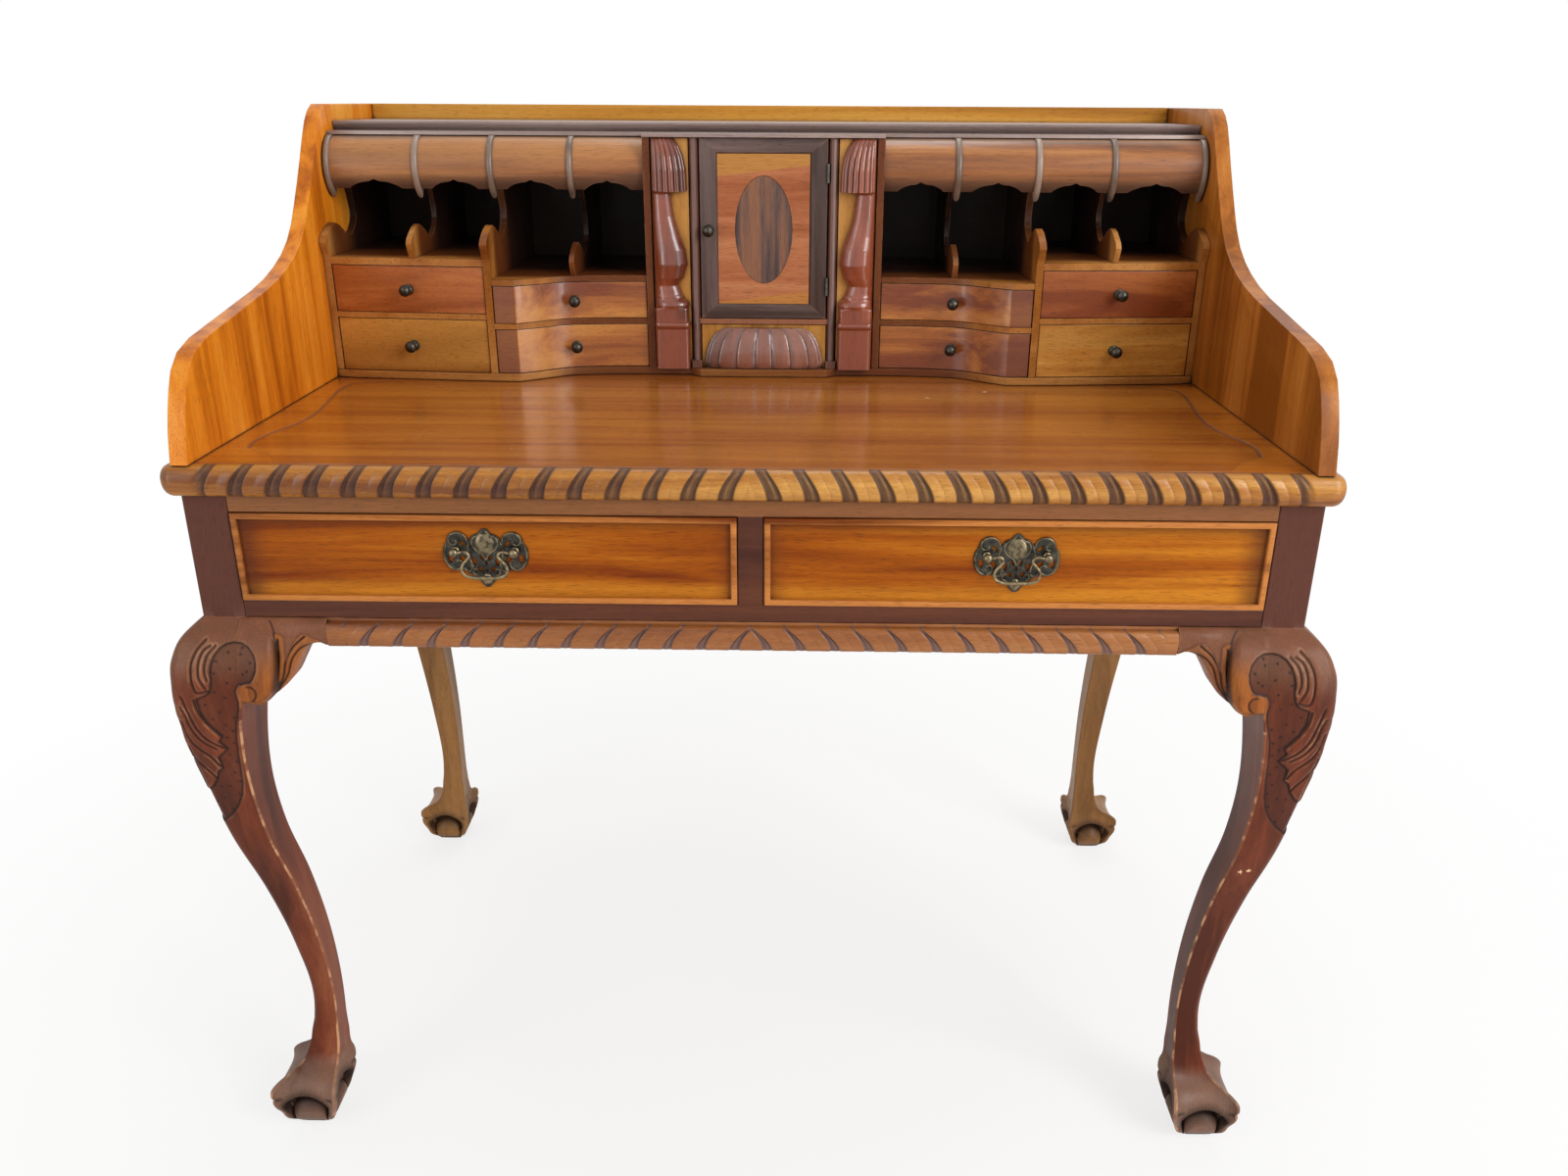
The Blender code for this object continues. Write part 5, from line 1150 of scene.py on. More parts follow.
def leaf_carving(spots):
    """The bracket's leaf at places in millimetres: how far it is raised, its height, and its dark glaze with painted
    shade in its veins and round its edge.
    """
    inward = within_edge(spots, LEAF)
    raised = smooth_step(inward, -0.3, 1.2)
    height, glaze = 1.3 * raised, 0.35 * near(np.abs(inward), 1.0)
    for line in LEAF_VEINS:
        distance = to_line(spots, rounded_line(line))
        height += raised * sum(groove(distance, *cut) for cut in VEIN_CUTS)
        glaze += raised * 0.95 * near(distance, GLAZE_AND_SHADE_REACH)
    return raised, height, glaze


def make_knee_bracket(hand):
    """The bracket beside a knee: the rolled edge of the knee's scroll, and the leaf that runs out of it."""
    across = np.linspace(POST_SIDE - BRACKET_TUCK[1], POST_SIDE + BRACKET_REACH, BRACKET_COLUMNS)
    share = np.clip((across - POST_SIDE) / BRACKET_REACH, 0.0, 1.0)
    (low,) = curve_through(BRACKET_LOW, BRACKET_TIP - across / MILLIMETRE)
    low = low * MILLIMETRE
    scroll_low = SCROLL_LOW + SCROLL_RISE * smooth_step(across, *SCROLL_RISE_ACROSS)
    low = np.where(across < SCROLL_END, np.minimum(low, scroll_low), low)
    top = LEG_HEIGHT - SEAT
    rise = np.linspace(0.0, 1.0, BRACKET_ROWS)
    rise = rise - 0.06 * np.sin(2 * math.pi * rise)
    level = low[:, None] + (top - low)[:, None] * rise
    wide = np.repeat(across[:, None], BRACKET_ROWS, 1)
    spots = np.stack((wide.ravel(), level.ravel()), axis=-1) / MILLIMETRE
    (profile,) = curve_through(BRACKET_PROFILE, rise)
    raised, height, glaze = (values.reshape(level.shape) for values in leaf_carving(spots))
    leaf = (APRON_REACH + BRACKET_FLARE * (1 - share) ** 2)[:, None] * profile
    leaf = leaf + height * MILLIMETRE * smooth_step(rise, 0.0, 0.05)
    # The knee's own face carries on as a scroll that rolls down to the leaf at its edge.
    outer, inner, _, _ = curve_through(LEG_SHARES, level.ravel() / LEG_HEIGHT)
    (edge,) = curve_through(SCROLL_EDGE, level.ravel() / MILLIMETRE)
    from_edge = (edge * MILLIMETRE).reshape(level.shape) - wide
    places = np.stack((spots[:, 0] + INNER_ARRIS * (1 - inner), spots[:, 1]), axis=-1)
    carved, dark, light = (values.reshape(level.shape) for values in carve_knee(places))
    scroll = outer.reshape(level.shape) * KNEE_SWELL
    scroll = scroll - rolled_off(from_edge, *SCROLL_ROLL) - rolled_off(level - scroll_low[:, None], *SCROLL_UNDER)
    tuck, tuck_start, tuck_stop = BRACKET_TUCK
    tucked = smooth_step(across, POST_SIDE - tuck_start, POST_SIDE - tuck_stop)[:, None]
    scroll = scroll + carved * MILLIMETRE + tuck * (1.25 * tucked - 1)
    on_scroll = (from_edge > 0) & (scroll > 0)
    face = np.where(on_scroll, np.maximum(scroll, np.minimum(leaf, scroll + 0.02)), leaf)
    # Painted shade along the scroll's edge, where it rolls down to the leaf.
    edge_dark = 0.9 * near(from_edge, SCROLL_EDGE_DARK) * (level < top - 0.002)
    marks = {
        "glaze": np.clip(np.where(on_scroll, dark, glaze) + edge_dark, 0, 1),
        "amber": np.where(on_scroll, scroll_amber(places).reshape(level.shape), 0.75 * raised),
        "rubbed_and_highlight": np.where(on_scroll, light, 0.0),
    }
    # Two more points close each ring behind: at its top and at its foot.
    behind = (len(across), 2)
    marks = {mark: np.concatenate((np.zeros(behind), values), axis=1) for mark, values in marks.items()}
    rings_across = np.repeat(across[:, None], BRACKET_ROWS + 2, 1)
    rings_deep = np.concatenate((np.full(behind, BRACKET_BACK), -face), axis=1)
    rings_level = np.concatenate((np.full((len(across), 1), top), low[:, None], level), axis=1)
    points = at_corner(rings_across, rings_deep, rings_level, SIDE_OF[hand], -1).reshape(-1, 3)
    name, node = f"{hand}_carved_knee_bracket", f"{hand}_knee_bracket"
    mesh_piece(name, points, skin(rings_across.shape), "leg mahogany", "desk", [node], marks, 50.0)


# The two gadrooned mouldings: where their lobes stand, how they lean, how wide their dark bands are, how they run out
EDGE_REACH = 0.0138
EDGE_PITCH = 0.0348
EDGE_FIRST = 0.0227
EDGE_LEAN = 0.013
EDGE_COUNT = 14
EDGE_BAND = 0.0076
EDGE_TAPER = 0.25
EDGE_FADE = (0.030, 0.016)
APRON_PITCH = 0.0327
APRON_FIRST = APRON_PITCH / 2
APRON_LEAN = 0.017
APRON_COUNT = 12
APRON_DROP = 0.029
APRON_BACK = 0.012
APRON_BAND = 0.0056
APRON_TAPER = 0.78
APRON_FADE = (0.022, 0.010)
UNIT_COLUMNS = 64
CORNER_TURNS = 14


def lobe_relief(along, rise, first, pitch, band, lean, taper):
    """How full a gadrooned nose stands at places along it and up it, and its dark glaze with painted shade in the
    bands. Bands lean to the middle.
    """
    offset = along + lean * rise**2 - first
    phase = (offset / pitch + 0.5) % 1.0 - 0.5
    from_band = phase * pitch
    half = band * (1 - taper * rise)
    within_band = np.abs(from_band) / half
    trough = 1 - smooth_step(within_band, 0.68, 1.12)
    ridge = near(from_band - 0.12 * half, 0.34 * half)
    rim = near(within_band - 0.90, 0.20)
    relief = 0.86 + 0.14 * np.abs(np.cos(math.pi * phase)) ** 0.35
    relief = relief - 0.30 * trough + 0.14 * ridge * trough
    # Painted shade in each band, lighter over its sub-ridge and darker along its rims.
    return relief, np.clip(0.84 * trough - 0.14 * ridge * trough + 0.35 * rim, 0.0, 1.0)


def nose_section(count):
    """The thumb-shaped nose: how far out and how high, in shares, from its foot up."""
    angle = np.linspace(-math.pi / 2, math.pi / 2, count)
    return np.abs(np.cos(angle)) ** 0.62, (1 + np.sin(angle)) / 2


def edge_relief(along, rise):
    """The carving of the edge moulding, which runs out before the corners."""
    relief, glaze = lobe_relief(along[:, None], rise, EDGE_FIRST, EDGE_PITCH, EDGE_BAND, EDGE_LEAN, EDGE_TAPER)
    fade = 1 - smooth_step(along, HALF_WIDTH - EDGE_FADE[0], HALF_WIDTH - EDGE_FADE[1])[:, None]
    return 1 - (1 - relief) * fade, glaze * fade


def edge_places(x, y, out_x, out_y, relief, bulge, rise):
    """Rings of the edge moulding round the points of its path."""
    out = SEAT + EDGE_REACH * bulge * relief
    level = CASE_TOP + SEAT + (SURFACE - CASE_TOP - SEAT) * rise
    level = np.broadcast_to(level, out.shape)
    return np.stack((x[:, None] + out_x[:, None] * out, y[:, None] + out_y[:, None] * out, level), -1)


def gadrooned(node, name, finish, unit, count, pitch, end):
    """A moulding: its carved units in a row, and the run from them to its right end, which also ends it on the left."""
    rings, glaze = unit
    mesh = plain_mesh("gadroon", rings.reshape(-1, 3), skin(rings.shape[:2], caps=False), {"glaze": glaze})
    parts = [arrays_of(row_of(f"{node} row", mesh, finish, count, pitch))]
    rings, glaze = end
    around = rings.shape[1]
    faces = skin(rings.shape[:2], caps=False)
    faces.append(tuple(range((len(rings) - 1) * around, len(rings) * around)))
    for side in (-1, 1):
        parts.append((rings.reshape(-1, 3) * (side, 1, 1), faces, glaze.ravel()))
    points, faces, glaze = together(parts)
    mesh_piece(name, points, faces, finish, "desk", [node], {"glaze": glaze}, 50, weld=True)


def make_edge_moulding():
    """The gadrooned nose along the front of the top, and its plain runs round the corners and down the sides."""
    bulge, rise = nose_section(38)
    along = np.linspace(0.0, EDGE_PITCH, UNIT_COLUMNS)
    relief, glaze = edge_relief(along, rise)
    still = np.zeros(len(along))
    unit = edge_places(along, still - HALF_DEPTH, still, still - 1, relief, bulge, rise), glaze
    along = np.linspace(EDGE_COUNT * EDGE_PITCH, HALF_WIDTH, 46)
    relief, glaze = edge_relief(along, rise)
    turn = np.linspace(0.0, math.pi / 2, CORNER_TURNS)[1:]
    x = np.concatenate((along, np.full(CORNER_TURNS, HALF_WIDTH)))
    y = np.concatenate((np.full(len(along) + len(turn), -HALF_DEPTH), [HALF_DEPTH]))
    out_x = np.concatenate((np.zeros(len(along)), np.sin(turn), [1.0]))
    out_y = np.concatenate((np.full(len(along), -1.0), -np.cos(turn), [0.0]))
    plain = np.ones((CORNER_TURNS, len(rise)))
    relief, glaze = np.concatenate((relief, plain)), np.concatenate((glaze, 0 * plain))
    end = edge_places(x, y, out_x, out_y, relief, bulge, rise), glaze
    name, finish = "gadrooned_edge_moulding", "moulding mahogany"
    gadrooned("edge_moulding", name, finish, unit, EDGE_COUNT, EDGE_PITCH, end)


def apron_rings(along, bulge, rise, reach):
    """Rings of the apron moulding at places along it, with their glaze."""
    relief, glaze = lobe_relief(along[:, None], rise, APRON_FIRST, APRON_PITCH, APRON_BAND, APRON_LEAN, APRON_TAPER)
    fade = 1 - smooth_step(along, reach - APRON_FADE[0], reach - APRON_FADE[1])[:, None]
    relief, glaze = 1 - (1 - relief) * fade, glaze * fade
    low, high = LEG_HEIGHT - APRON_DROP, LEG_HEIGHT - APRON_FILLET
    back = np.broadcast_to((-HALF_DEPTH, -HALF_DEPTH + APRON_BACK, -HALF_DEPTH + APRON_BACK), (len(along), 3))
    deep = np.concatenate((-HALF_DEPTH - APRON_REACH * bulge * relief, back), axis=1)
    level = np.concatenate((low + (high - low) * rise, (LEG_HEIGHT - SEAT, LEG_HEIGHT - SEAT, low)))
    places = np.stack((np.broadcast_to(along[:, None], deep.shape), deep, np.broadcast_to(level, deep.shape)), -1)
    return places, np.concatenate((glaze, np.zeros((len(along), 3))), axis=1)


def make_apron_moulding():
    """The gadrooned nose under the front rails, from bracket to bracket."""
    bulge, rise = nose_section(34)
    reach = HALF_WIDTH - POST_SIDE - BRACKET_REACH - SEAT
    unit = apron_rings(np.linspace(0.0, APRON_PITCH, UNIT_COLUMNS), bulge, rise, reach)
    end = apron_rings(np.linspace(APRON_COUNT * APRON_PITCH, reach, 24), bulge, rise, reach)
    name, finish = "gadrooned_apron_moulding", "apron mahogany"
    gadrooned("apron_moulding", name, finish, unit, APRON_COUNT, APRON_PITCH, end)


BODIES = frame["record"]["behaviour"]["bodies"]
BODY_OF = {node: body for body, nodes in BODIES.items() for node in nodes}
# The plane between a frieze drawer's front and its bead
BEAD_FACE = -0.3137
# Levels of the cuts across the gallery back, and how near its front and its lower cut a point still counts as on them
BACK_CUTS = (1.0690, 1.0740)
BACK_NEAR = (0.0015, 0.0005)


def softened(node, name, finish, width=0.0008, body=None, limit=35.0, trim=None, mark=None, joined=True):
    """The node's own shape, or the part of it that a trim leaves, with its arrises eased by this width.

    A shape that isn't joined keeps its own triangles.
    """
    form = bmesh.new()
    form.from_mesh(frame["nodes"][node].data)
    bmesh.ops.remove_doubles(form, verts=form.verts, dist=0.00002)
    if joined:
        bmesh.ops.dissolve_limit(form, angle_limit=math.radians(0.6), verts=form.verts, edges=form.edges)
    if trim:
        trim(form)
    mesh = bpy.data.meshes.new(name)
    form.to_mesh(mesh)
    form.free()
    rough = link(bpy.data.objects.new(name, mesh))
    bevel = rough.modifiers.new("eased arrises", "BEVEL")
    bevel.width = width
    bevel.segments = 2
    bevel.limit_method = "ANGLE"
    bevel.angle_limit = math.radians(limit)
    bevel.use_clamp_overlap = True
    graph = bpy.context.evaluated_depsgraph_get()
    mesh = bpy.data.meshes.new_from_object(rough.evaluated_get(graph))
    bpy.data.objects.remove(rough)
    mesh.name = name
    if mark:
        points, _, _ = arrays_of(mesh)
        mark_points(mesh, *mark(points))
    return dress_mesh(name, mesh, finish, body or BODY_OF[node], [node], 20.0)


def on_bead(points):
    """Where a frieze drawer's front stands proud as its bead."""
    return "amber", points[:, 1] < BEAD_FACE


def cut_level(form):
    """Cuts across the gallery back behind its cornice, so that its inside can be painted darker as shade below them."""
    for level in BACK_CUTS:
        whole = form.verts[:] + form.edges[:] + form.faces[:]
        bmesh.ops.bisect_plane(form, geom=whole, plane_co=(0.0, 0.0, level), plane_no=(0.0, 0.0, 1.0))


def dark_face(points):
    """Where the gallery back is seen from inside the pigeonholes, and is painted dark there as shade."""
    low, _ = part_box("gallery_back")
    return "glaze", (points[:, 1] < low.y + BACK_NEAR[0]) & (points[:, 2] < BACK_CUTS[0] + BACK_NEAR[1])


def make_door_frame():
    """The door's two stiles and two rails, mitred at the corners."""
    low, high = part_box("door_frame")
    sight_low, sight_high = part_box("door_panel")
    corners = {
        (across, up): (Vector(outer), Vector(inner))
        for across, up, outer, inner in (
            (-1, -1, (low.x, 0, low.z), (sight_low.x, 0, sight_low.z)),
            (1, -1, (high.x, 0, low.z), (sight_high.x, 0, sight_low.z)),
            (1, 1, (high.x, 0, high.z), (sight_high.x, 0, sight_high.z)),
            (-1, 1, (low.x, 0, high.z), (sight_low.x, 0, sight_high.z)),
        )
    }
    middle = (low + high) / 2
    members = (
        ("door_left_stile", "door frame mahogany", (low.x, 0, middle.z), ((-1, -1), (-1, 1))),
        ("door_right_stile", "door frame mahogany", (high.x, 0, middle.z), ((1, -1), (1, 1))),
        ("door_bottom_rail", "door rail mahogany", (middle.x, 0, low.z), ((-1, -1), (1, -1))),
        ("door_top_rail", "door rail mahogany", (middle.x, 0, high.z), ((-1, 1), (1, 1))),
    )
    for name, finish, place, mitres in members:

        def trim(form, place=Vector(place), mitres=mitres):
            for corner in mitres:
                outer, inner = corners[corner]
                across = (inner - outer).cross(Vector((0, 1, 0)))
                if across.dot(place - outer) > 0:
                    across = -across
                whole = form.verts[:] + form.edges[:] + form.faces[:]
                bmesh.ops.bisect_plane(form, geom=whole, plane_co=outer, plane_no=across, clear_outer=True)
                edges = [edge for edge in form.edges if edge.is_boundary]
                bmesh.ops.holes_fill(form, edges=edges, sides=0)

        softened("door_frame", name, finish, 0.0005, trim=trim)


SIDE_BOARD = 0.0167
INNER_HALF = HALF_WIDTH - SIDE_BOARD
SOFFIT = 1.068
CANOPY_Y = 0.138
CANOPY_RADIUS = 0.036
CANOPY_Z = SOFFIT - CANOPY_RADIUS
CANOPY_BOARD = 0.006
CANOPY_DROP = 0.059
SCALLOP_RISE = 0.011
UPRIGHT_AT = 0.136
PARTITION = 0.008
INNER_DIVIDER_AT = 0.2265
MAIN_PARTITION_AT = 0.3195
OUTER_DIVIDER_AT = 0.407
RIB_WIDTH = 0.0076
RIB_PROUD = 0.0035
RIB_DROP = 0.008
# How far under the canopy's axis its shadow begins and ends, and how dark it is
CANOPY_SHADOW = (0.006, 0.026, 0.4)


def scallop(share):
    """How far the valance rises at this share of a bay: flat by the ribs, an ogee point in the middle."""
    outward = np.abs(share - 0.5) * 2
    ogee = np.clip(1 - outward / 0.62, 0.0, 1.0)
    round_part = 0.72 * np.sin(np.minimum(ogee, 0.72) / 0.72 * math.pi / 2) ** 0.8
    point_part = 0.28 * (np.maximum(ogee - 0.72, 0.0) / 0.28) ** 1.6
    return SCALLOP_RISE * (round_part + point_part)


def canopy_section(places, drop, proud, count):
    """Rings of the rolled canopy board: its rounded face down to the valance and its back up again."""
    outer, inner = CANOPY_RADIUS + proud, CANOPY_RADIUS - CANOPY_BOARD
    low = CANOPY_Z - (CANOPY_DROP - CANOPY_RADIUS) - drop
    bottom = math.pi - np.arcsin((low - CANOPY_Z) / CANOPY_RADIUS)
    share = np.linspace(0.0, 1.0, count)
    face = math.pi / 2 + (bottom[:, None] - math.pi / 2) * share
    back = bottom[:, None] + (math.pi / 2 - bottom[:, None]) * np.linspace(0.0, 1.0, 10)
    angle = np.concatenate((face, back), axis=1)
    radius = np.concatenate((np.broadcast_to(outer[:, None], face.shape), np.full(back.shape, inner)), axis=1)
    y = CANOPY_Y + radius * np.cos(angle)
    z = np.minimum(CANOPY_Z + radius * np.sin(angle), SOFFIT - SEAT)
    x = np.broadcast_to(places[:, None], y.shape)
    return np.stack((x, y, z), -1)


def make_canopy(hand):
    """The rolled board over the pigeonholes of one side, scalloped below, with ribs over its dividers."""
    side = SIDE_OF[hand]
    low, high = UPRIGHT_AT + PARTITION / 2 + SEAT, INNER_HALF - SEAT
    ribs = (INNER_DIVIDER_AT, MAIN_PARTITION_AT, OUTER_DIVIDER_AT)
    bounds = [low] + [at for rib in ribs for at in (rib, rib)] + [high - RIB_WIDTH]
    places, drops = [], []
    for start, stop in zip(bounds[0::2], bounds[1::2]):
        share = np.linspace(0.0, 1.0, 64)
        places += list(start + (stop - start) * share[:-1])
        drops += list(-scallop(share[:-1]))
    places += [bounds[-1], high]
    drops += [0.0, 0.0]
    board = canopy_section(side * np.array(places), np.array(drops), np.zeros(len(places)), 40)
    points = board.reshape(-1, 3)
    start, stop, dark = CANOPY_SHADOW
    shade = smooth_step(-points[:, 2], -(CANOPY_Z - start), -(CANOPY_Z - stop)) * dark
    marks, node = {"glaze": shade}, f"{hand}_canopy"
    mesh_piece(f"{hand}_rolled_canopy", points, skin(board.shape[:2]), "canopy mahogany", "desk", [node], marks, 40)
    across = np.linspace(-1.0, 1.0, 13)
    round_over = np.sqrt(np.maximum(1 - across**2, 0.0)) ** 0.8
    rib = canopy_section(across * RIB_WIDTH / 2, RIB_DROP * round_over**0.5, RIB_PROUD * round_over, 32)
    unit = plain_mesh("canopy rib", rib.reshape(-1, 3), skin(rib.shape[:2]))
    spots = [(side * at, 0.0, 0.0) for at in ribs + (high - RIB_WIDTH / 2,)]
    points, faces, _ = set_at(f"{hand} canopy ribs", unit, "rib mahogany", spots)
    mesh_piece(f"{hand}_canopy_ribs", points, faces, "rib mahogany", "desk", [node], None, 40)


# Share of the height, of the width and of the depth, how square the plan is, and how deep its flutes are
PILASTER_SHARES = (
    (0.000, 1.00, 0.84, 7.0, 0.0),
    (0.184, 1.00, 0.84, 7.0, 0.0),
    (0.187, 1.02, 0.95, 7.0, 0.0),
    (0.198, 1.03, 0.99, 7.0, 0.0),
    (0.209, 1.02, 0.95, 7.0, 0.0),
    (0.212, 0.98, 0.84, 7.0, 0.0),
    (0.272, 0.98, 0.84, 7.0, 0.0),
    (0.276, 0.99, 0.86, 2.4, 0.0),
    (0.285, 1.02, 0.90, 2.3, 0.0),
    (0.300, 0.99, 0.84, 2.2, 0.0),
    (0.312, 0.86, 0.68, 2.2, 0.0),
    (0.322, 0.86, 0.68, 2.2, 0.0),
    (0.334, 0.80, 0.62, 2.2, 0.0),
    (0.373, 0.70, 0.56, 2.2, 0.0),
    (0.405, 0.86, 0.76, 2.2, 0.0),
    (0.465, 0.98, 0.92, 2.2, 0.0),
    (0.530, 0.93, 0.86, 2.2, 0.0),
    (0.590, 0.77, 0.68, 2.2, 0.0),
    (0.670, 0.61, 0.53, 2.2, 0.0),
    (0.768, 0.53, 0.48, 2.2, 0.0),
    (0.774, 0.60, 0.56, 2.0, 0.4),
    (0.779, 1.00, 0.98, 2.0, 1.0),
    (0.870, 0.98, 1.00, 2.0, 1.0),
    (0.925, 0.91, 0.88, 2.0, 1.0),
    (0.970, 0.79, 0.62, 2.0, 1.0),
    (1.000, 0.64, 0.26, 2.0, 0.8),
)
PILASTER_WIDTH = 0.0415
PILASTER_DEPTH = 0.019
# Share of the height, of the width and of the depth
SHELL_SHARES = (
    (0.00, 0.97, 0.86),
    (0.10, 1.00, 0.96),
    (0.28, 0.99, 1.00),
    (0.55, 0.94, 0.93),
    (0.78, 0.86, 0.74),
    (0.93, 0.76, 0.46),
    (1.00, 0.66, 0.20),
)


def fluted_half(width, depth, square, flute, lobes, count):
    """Half-round plans in front of a flat face, with rounded flutes cut into them. Rows run up the piece."""
    angle = math.pi * np.linspace(0.0, 1.0, count)[None, :]
    across, out = np.cos(angle), np.sin(angle)
    size = (np.abs(across) ** square[:, None] + np.abs(out) ** square[:, None]) ** (-1 / square[:, None])
    phase = (angle / math.pi * lobes) % 1.0
    rounded = np.abs(np.sin(math.pi * phase)) ** 0.55
    cut = flute[:, None] * (1 - rounded) * smooth_step(out, 0.0, 0.12)
    size = size * (1 - cut)
    # Painted shade in the flutes, darkest at their bottoms.
    glaze = np.where(flute[:, None] > 0, np.clip(1.15 - 1.6 * rounded, 0, 1), 0.0) * np.ones_like(size)
    return width[:, None] * size * across, depth[:, None] * size * out, glaze


def make_pilaster(hand):
    """A pilaster: plinth, baluster and fluted capital, flat on its back and flush on its outer side."""
    side = SIDE_OF[hand]
    low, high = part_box(f"{hand}_pilaster")
    rows = np.linspace(1.0, 0.0, 260)
    width, depth, square, flute = curve_rows(PILASTER_SHARES, rows)
    straight = high.x if side > 0 else low.x
    half = width * PILASTER_WIDTH / 2 * 0.985
    across, out, glaze = fluted_half(half, depth * PILASTER_DEPTH, square, 0.13 * flute, 8, 97)
    x = straight - side * half[:, None] + across
    y = high.y - out
    z = np.broadcast_to((low.z + (high.z - low.z) * rows)[:, None], x.shape)
    points = np.clip(np.stack((x, y, z), -1).reshape(-1, 3), np.array(low), np.array(high))
    marks, body, node = {"glaze": 0.75 * glaze}, f"{hand}_document_drawer", f"{hand}_pilaster"
    mesh_piece(f"{hand}_turned_pilaster", points, skin(x.shape), "pilaster mahogany", body, [node], marks, 45)


def curve_rows(rows, places):
    """Values of a table whose first column rises, straight from row to row."""
    table = np.array(rows, float)
    return [np.interp(places, table[:, 0], table[:, column]) for column in range(1, table.shape[1])]


def make_shell():
    """The carved shell on the front of the drawer under the door."""
    low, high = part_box("carved_shell")
    rows = np.linspace(1.0, 0.0, 70)
    width, depth = curve_through(SHELL_SHARES[::-1], rows)
    half, deep = (high.x - low.x) / 2, high.y - low.y
    square = np.full(len(rows), 3.0)
    across, out, glaze = fluted_half(width * half, depth * deep, square, np.full(len(rows), 0.20), 9, 181)
    level = np.broadcast_to((low.z + (high.z - low.z) * rows)[:, None], out.shape)
    points = np.clip(np.stack((across, high.y - out, level), -1).reshape(-1, 3), np.array(low), np.array(high))
    marks, body, node = {"glaze": 0.85 * glaze}, "shell_drawer", "carved_shell"
    mesh_piece("gadrooned_shell", points, skin(out.shape), "shell mahogany", body, [node], marks, 45)


# Share of a knob's length and of its radius, and how much of its solid counts as its foot and as its tip
KNOB_SHARES = (
    (0.00, 0.88), (0.05, 0.92), (0.09, 0.86), (0.12, 0.60), (0.20, 0.44), (0.36, 0.42), (0.44, 0.56), (0.52, 0.84),
    (0.62, 0.98), (0.72, 1.00), (0.83, 0.90), (0.93, 0.62), (0.98, 0.34), (1.00, 0.10),
)
KNOB_FOOT = 0.0045
KNOB_TIP = 0.0025


def turned(shares, length, radius, sides):
    """A turning whose axis runs from the origin towards the front: its points and faces."""
    rows = np.array(shares)
    angle = 2 * math.pi * np.arange(sides) / sides
    x = radius * rows[:, 1:2] * np.cos(angle)
    z = radius * rows[:, 1:2] * np.sin(angle)
    y = np.broadcast_to(-length * rows[:, 0:1], x.shape)
    return np.stack((x, y, z), -1).reshape(-1, 3), skin(x.shape)


def make_knob(node, name, length=0.0175, radius=0.0068):
    """A turned knob on the place and the slant of its drawer front."""
    data = frame["nodes"][node].data
    spots = np.array([v.co for v in data.vertices])
    low, high = spots.min(0), spots.max(0)
    centre = (low + high) / 2
    foot = spots[spots[:, 1] > high[1] - KNOB_FOOT]
    tip = spots[spots[:, 1] < low[1] + KNOB_TIP]
    run = tip.mean(0) - foot.mean(0)
    turn = math.atan2(run[0], -run[1])
    points, faces = turned(KNOB_SHARES, length, radius, 32)
    points = points @ np.array(Matrix.Rotation(turn, 3, "Z")).T
    middle = (points.min(0) + points.max(0)) / 2
    points = points + (centre - middle)
    mesh_piece(name, points, faces, "antique brass", BODY_OF[node], [node], None, 40)


# The line cut into the writing surface: across from the middle and back from the front, in millimetres
TOP_LINE = [
    (486.4, -257.0), (491.0, -228.0), (488.5, -205.0), (481.0, -180.0), (475.5, -155.0), (473.5, -125.0),
    (477.5, -80.0), (484.5, -30.0), (488.0, 8.0), (484.0, 30.0), (472.0, 41.0), (455.0, 44.0), (400.0, 44.5),
]
TOP_RETURN = [(486.4, -257.0), (456.8, -284.0)]
TOP_MARGIN = TOP_LINE + [(517.0, 44.5), (517.0, -312.0), (440.0, -312.0), (456.8, -284.0)]
TOP_COLUMNS = ((0.0, 0.440, 0.0060), (0.440, 0.500, 0.0011), (0.500, HALF_WIDTH, 0.0050))
TOP_ROWS = (
    (-HALF_DEPTH, -0.3080, 0.0008), (-0.3080, -0.290, 0.0020), (-0.290, 0.040, 0.0024), (0.040, 0.052, 0.0010),
    (0.052, HALF_DEPTH, 0.0300),
)
# How far from the middle the line fades in, and where the thin line along the front is cut
LINE_FADE = (400.0, 452.0)
FRONT_LINE = -311.6


def graded(spans):
    """Places that are close together in some spans and far apart in others."""
    places = []
    for low, high, step in spans:
        places += list(np.linspace(low, high, max(round((high - low) / step), 1), endpoint=False))
    return np.array(places + [spans[-1][1]])


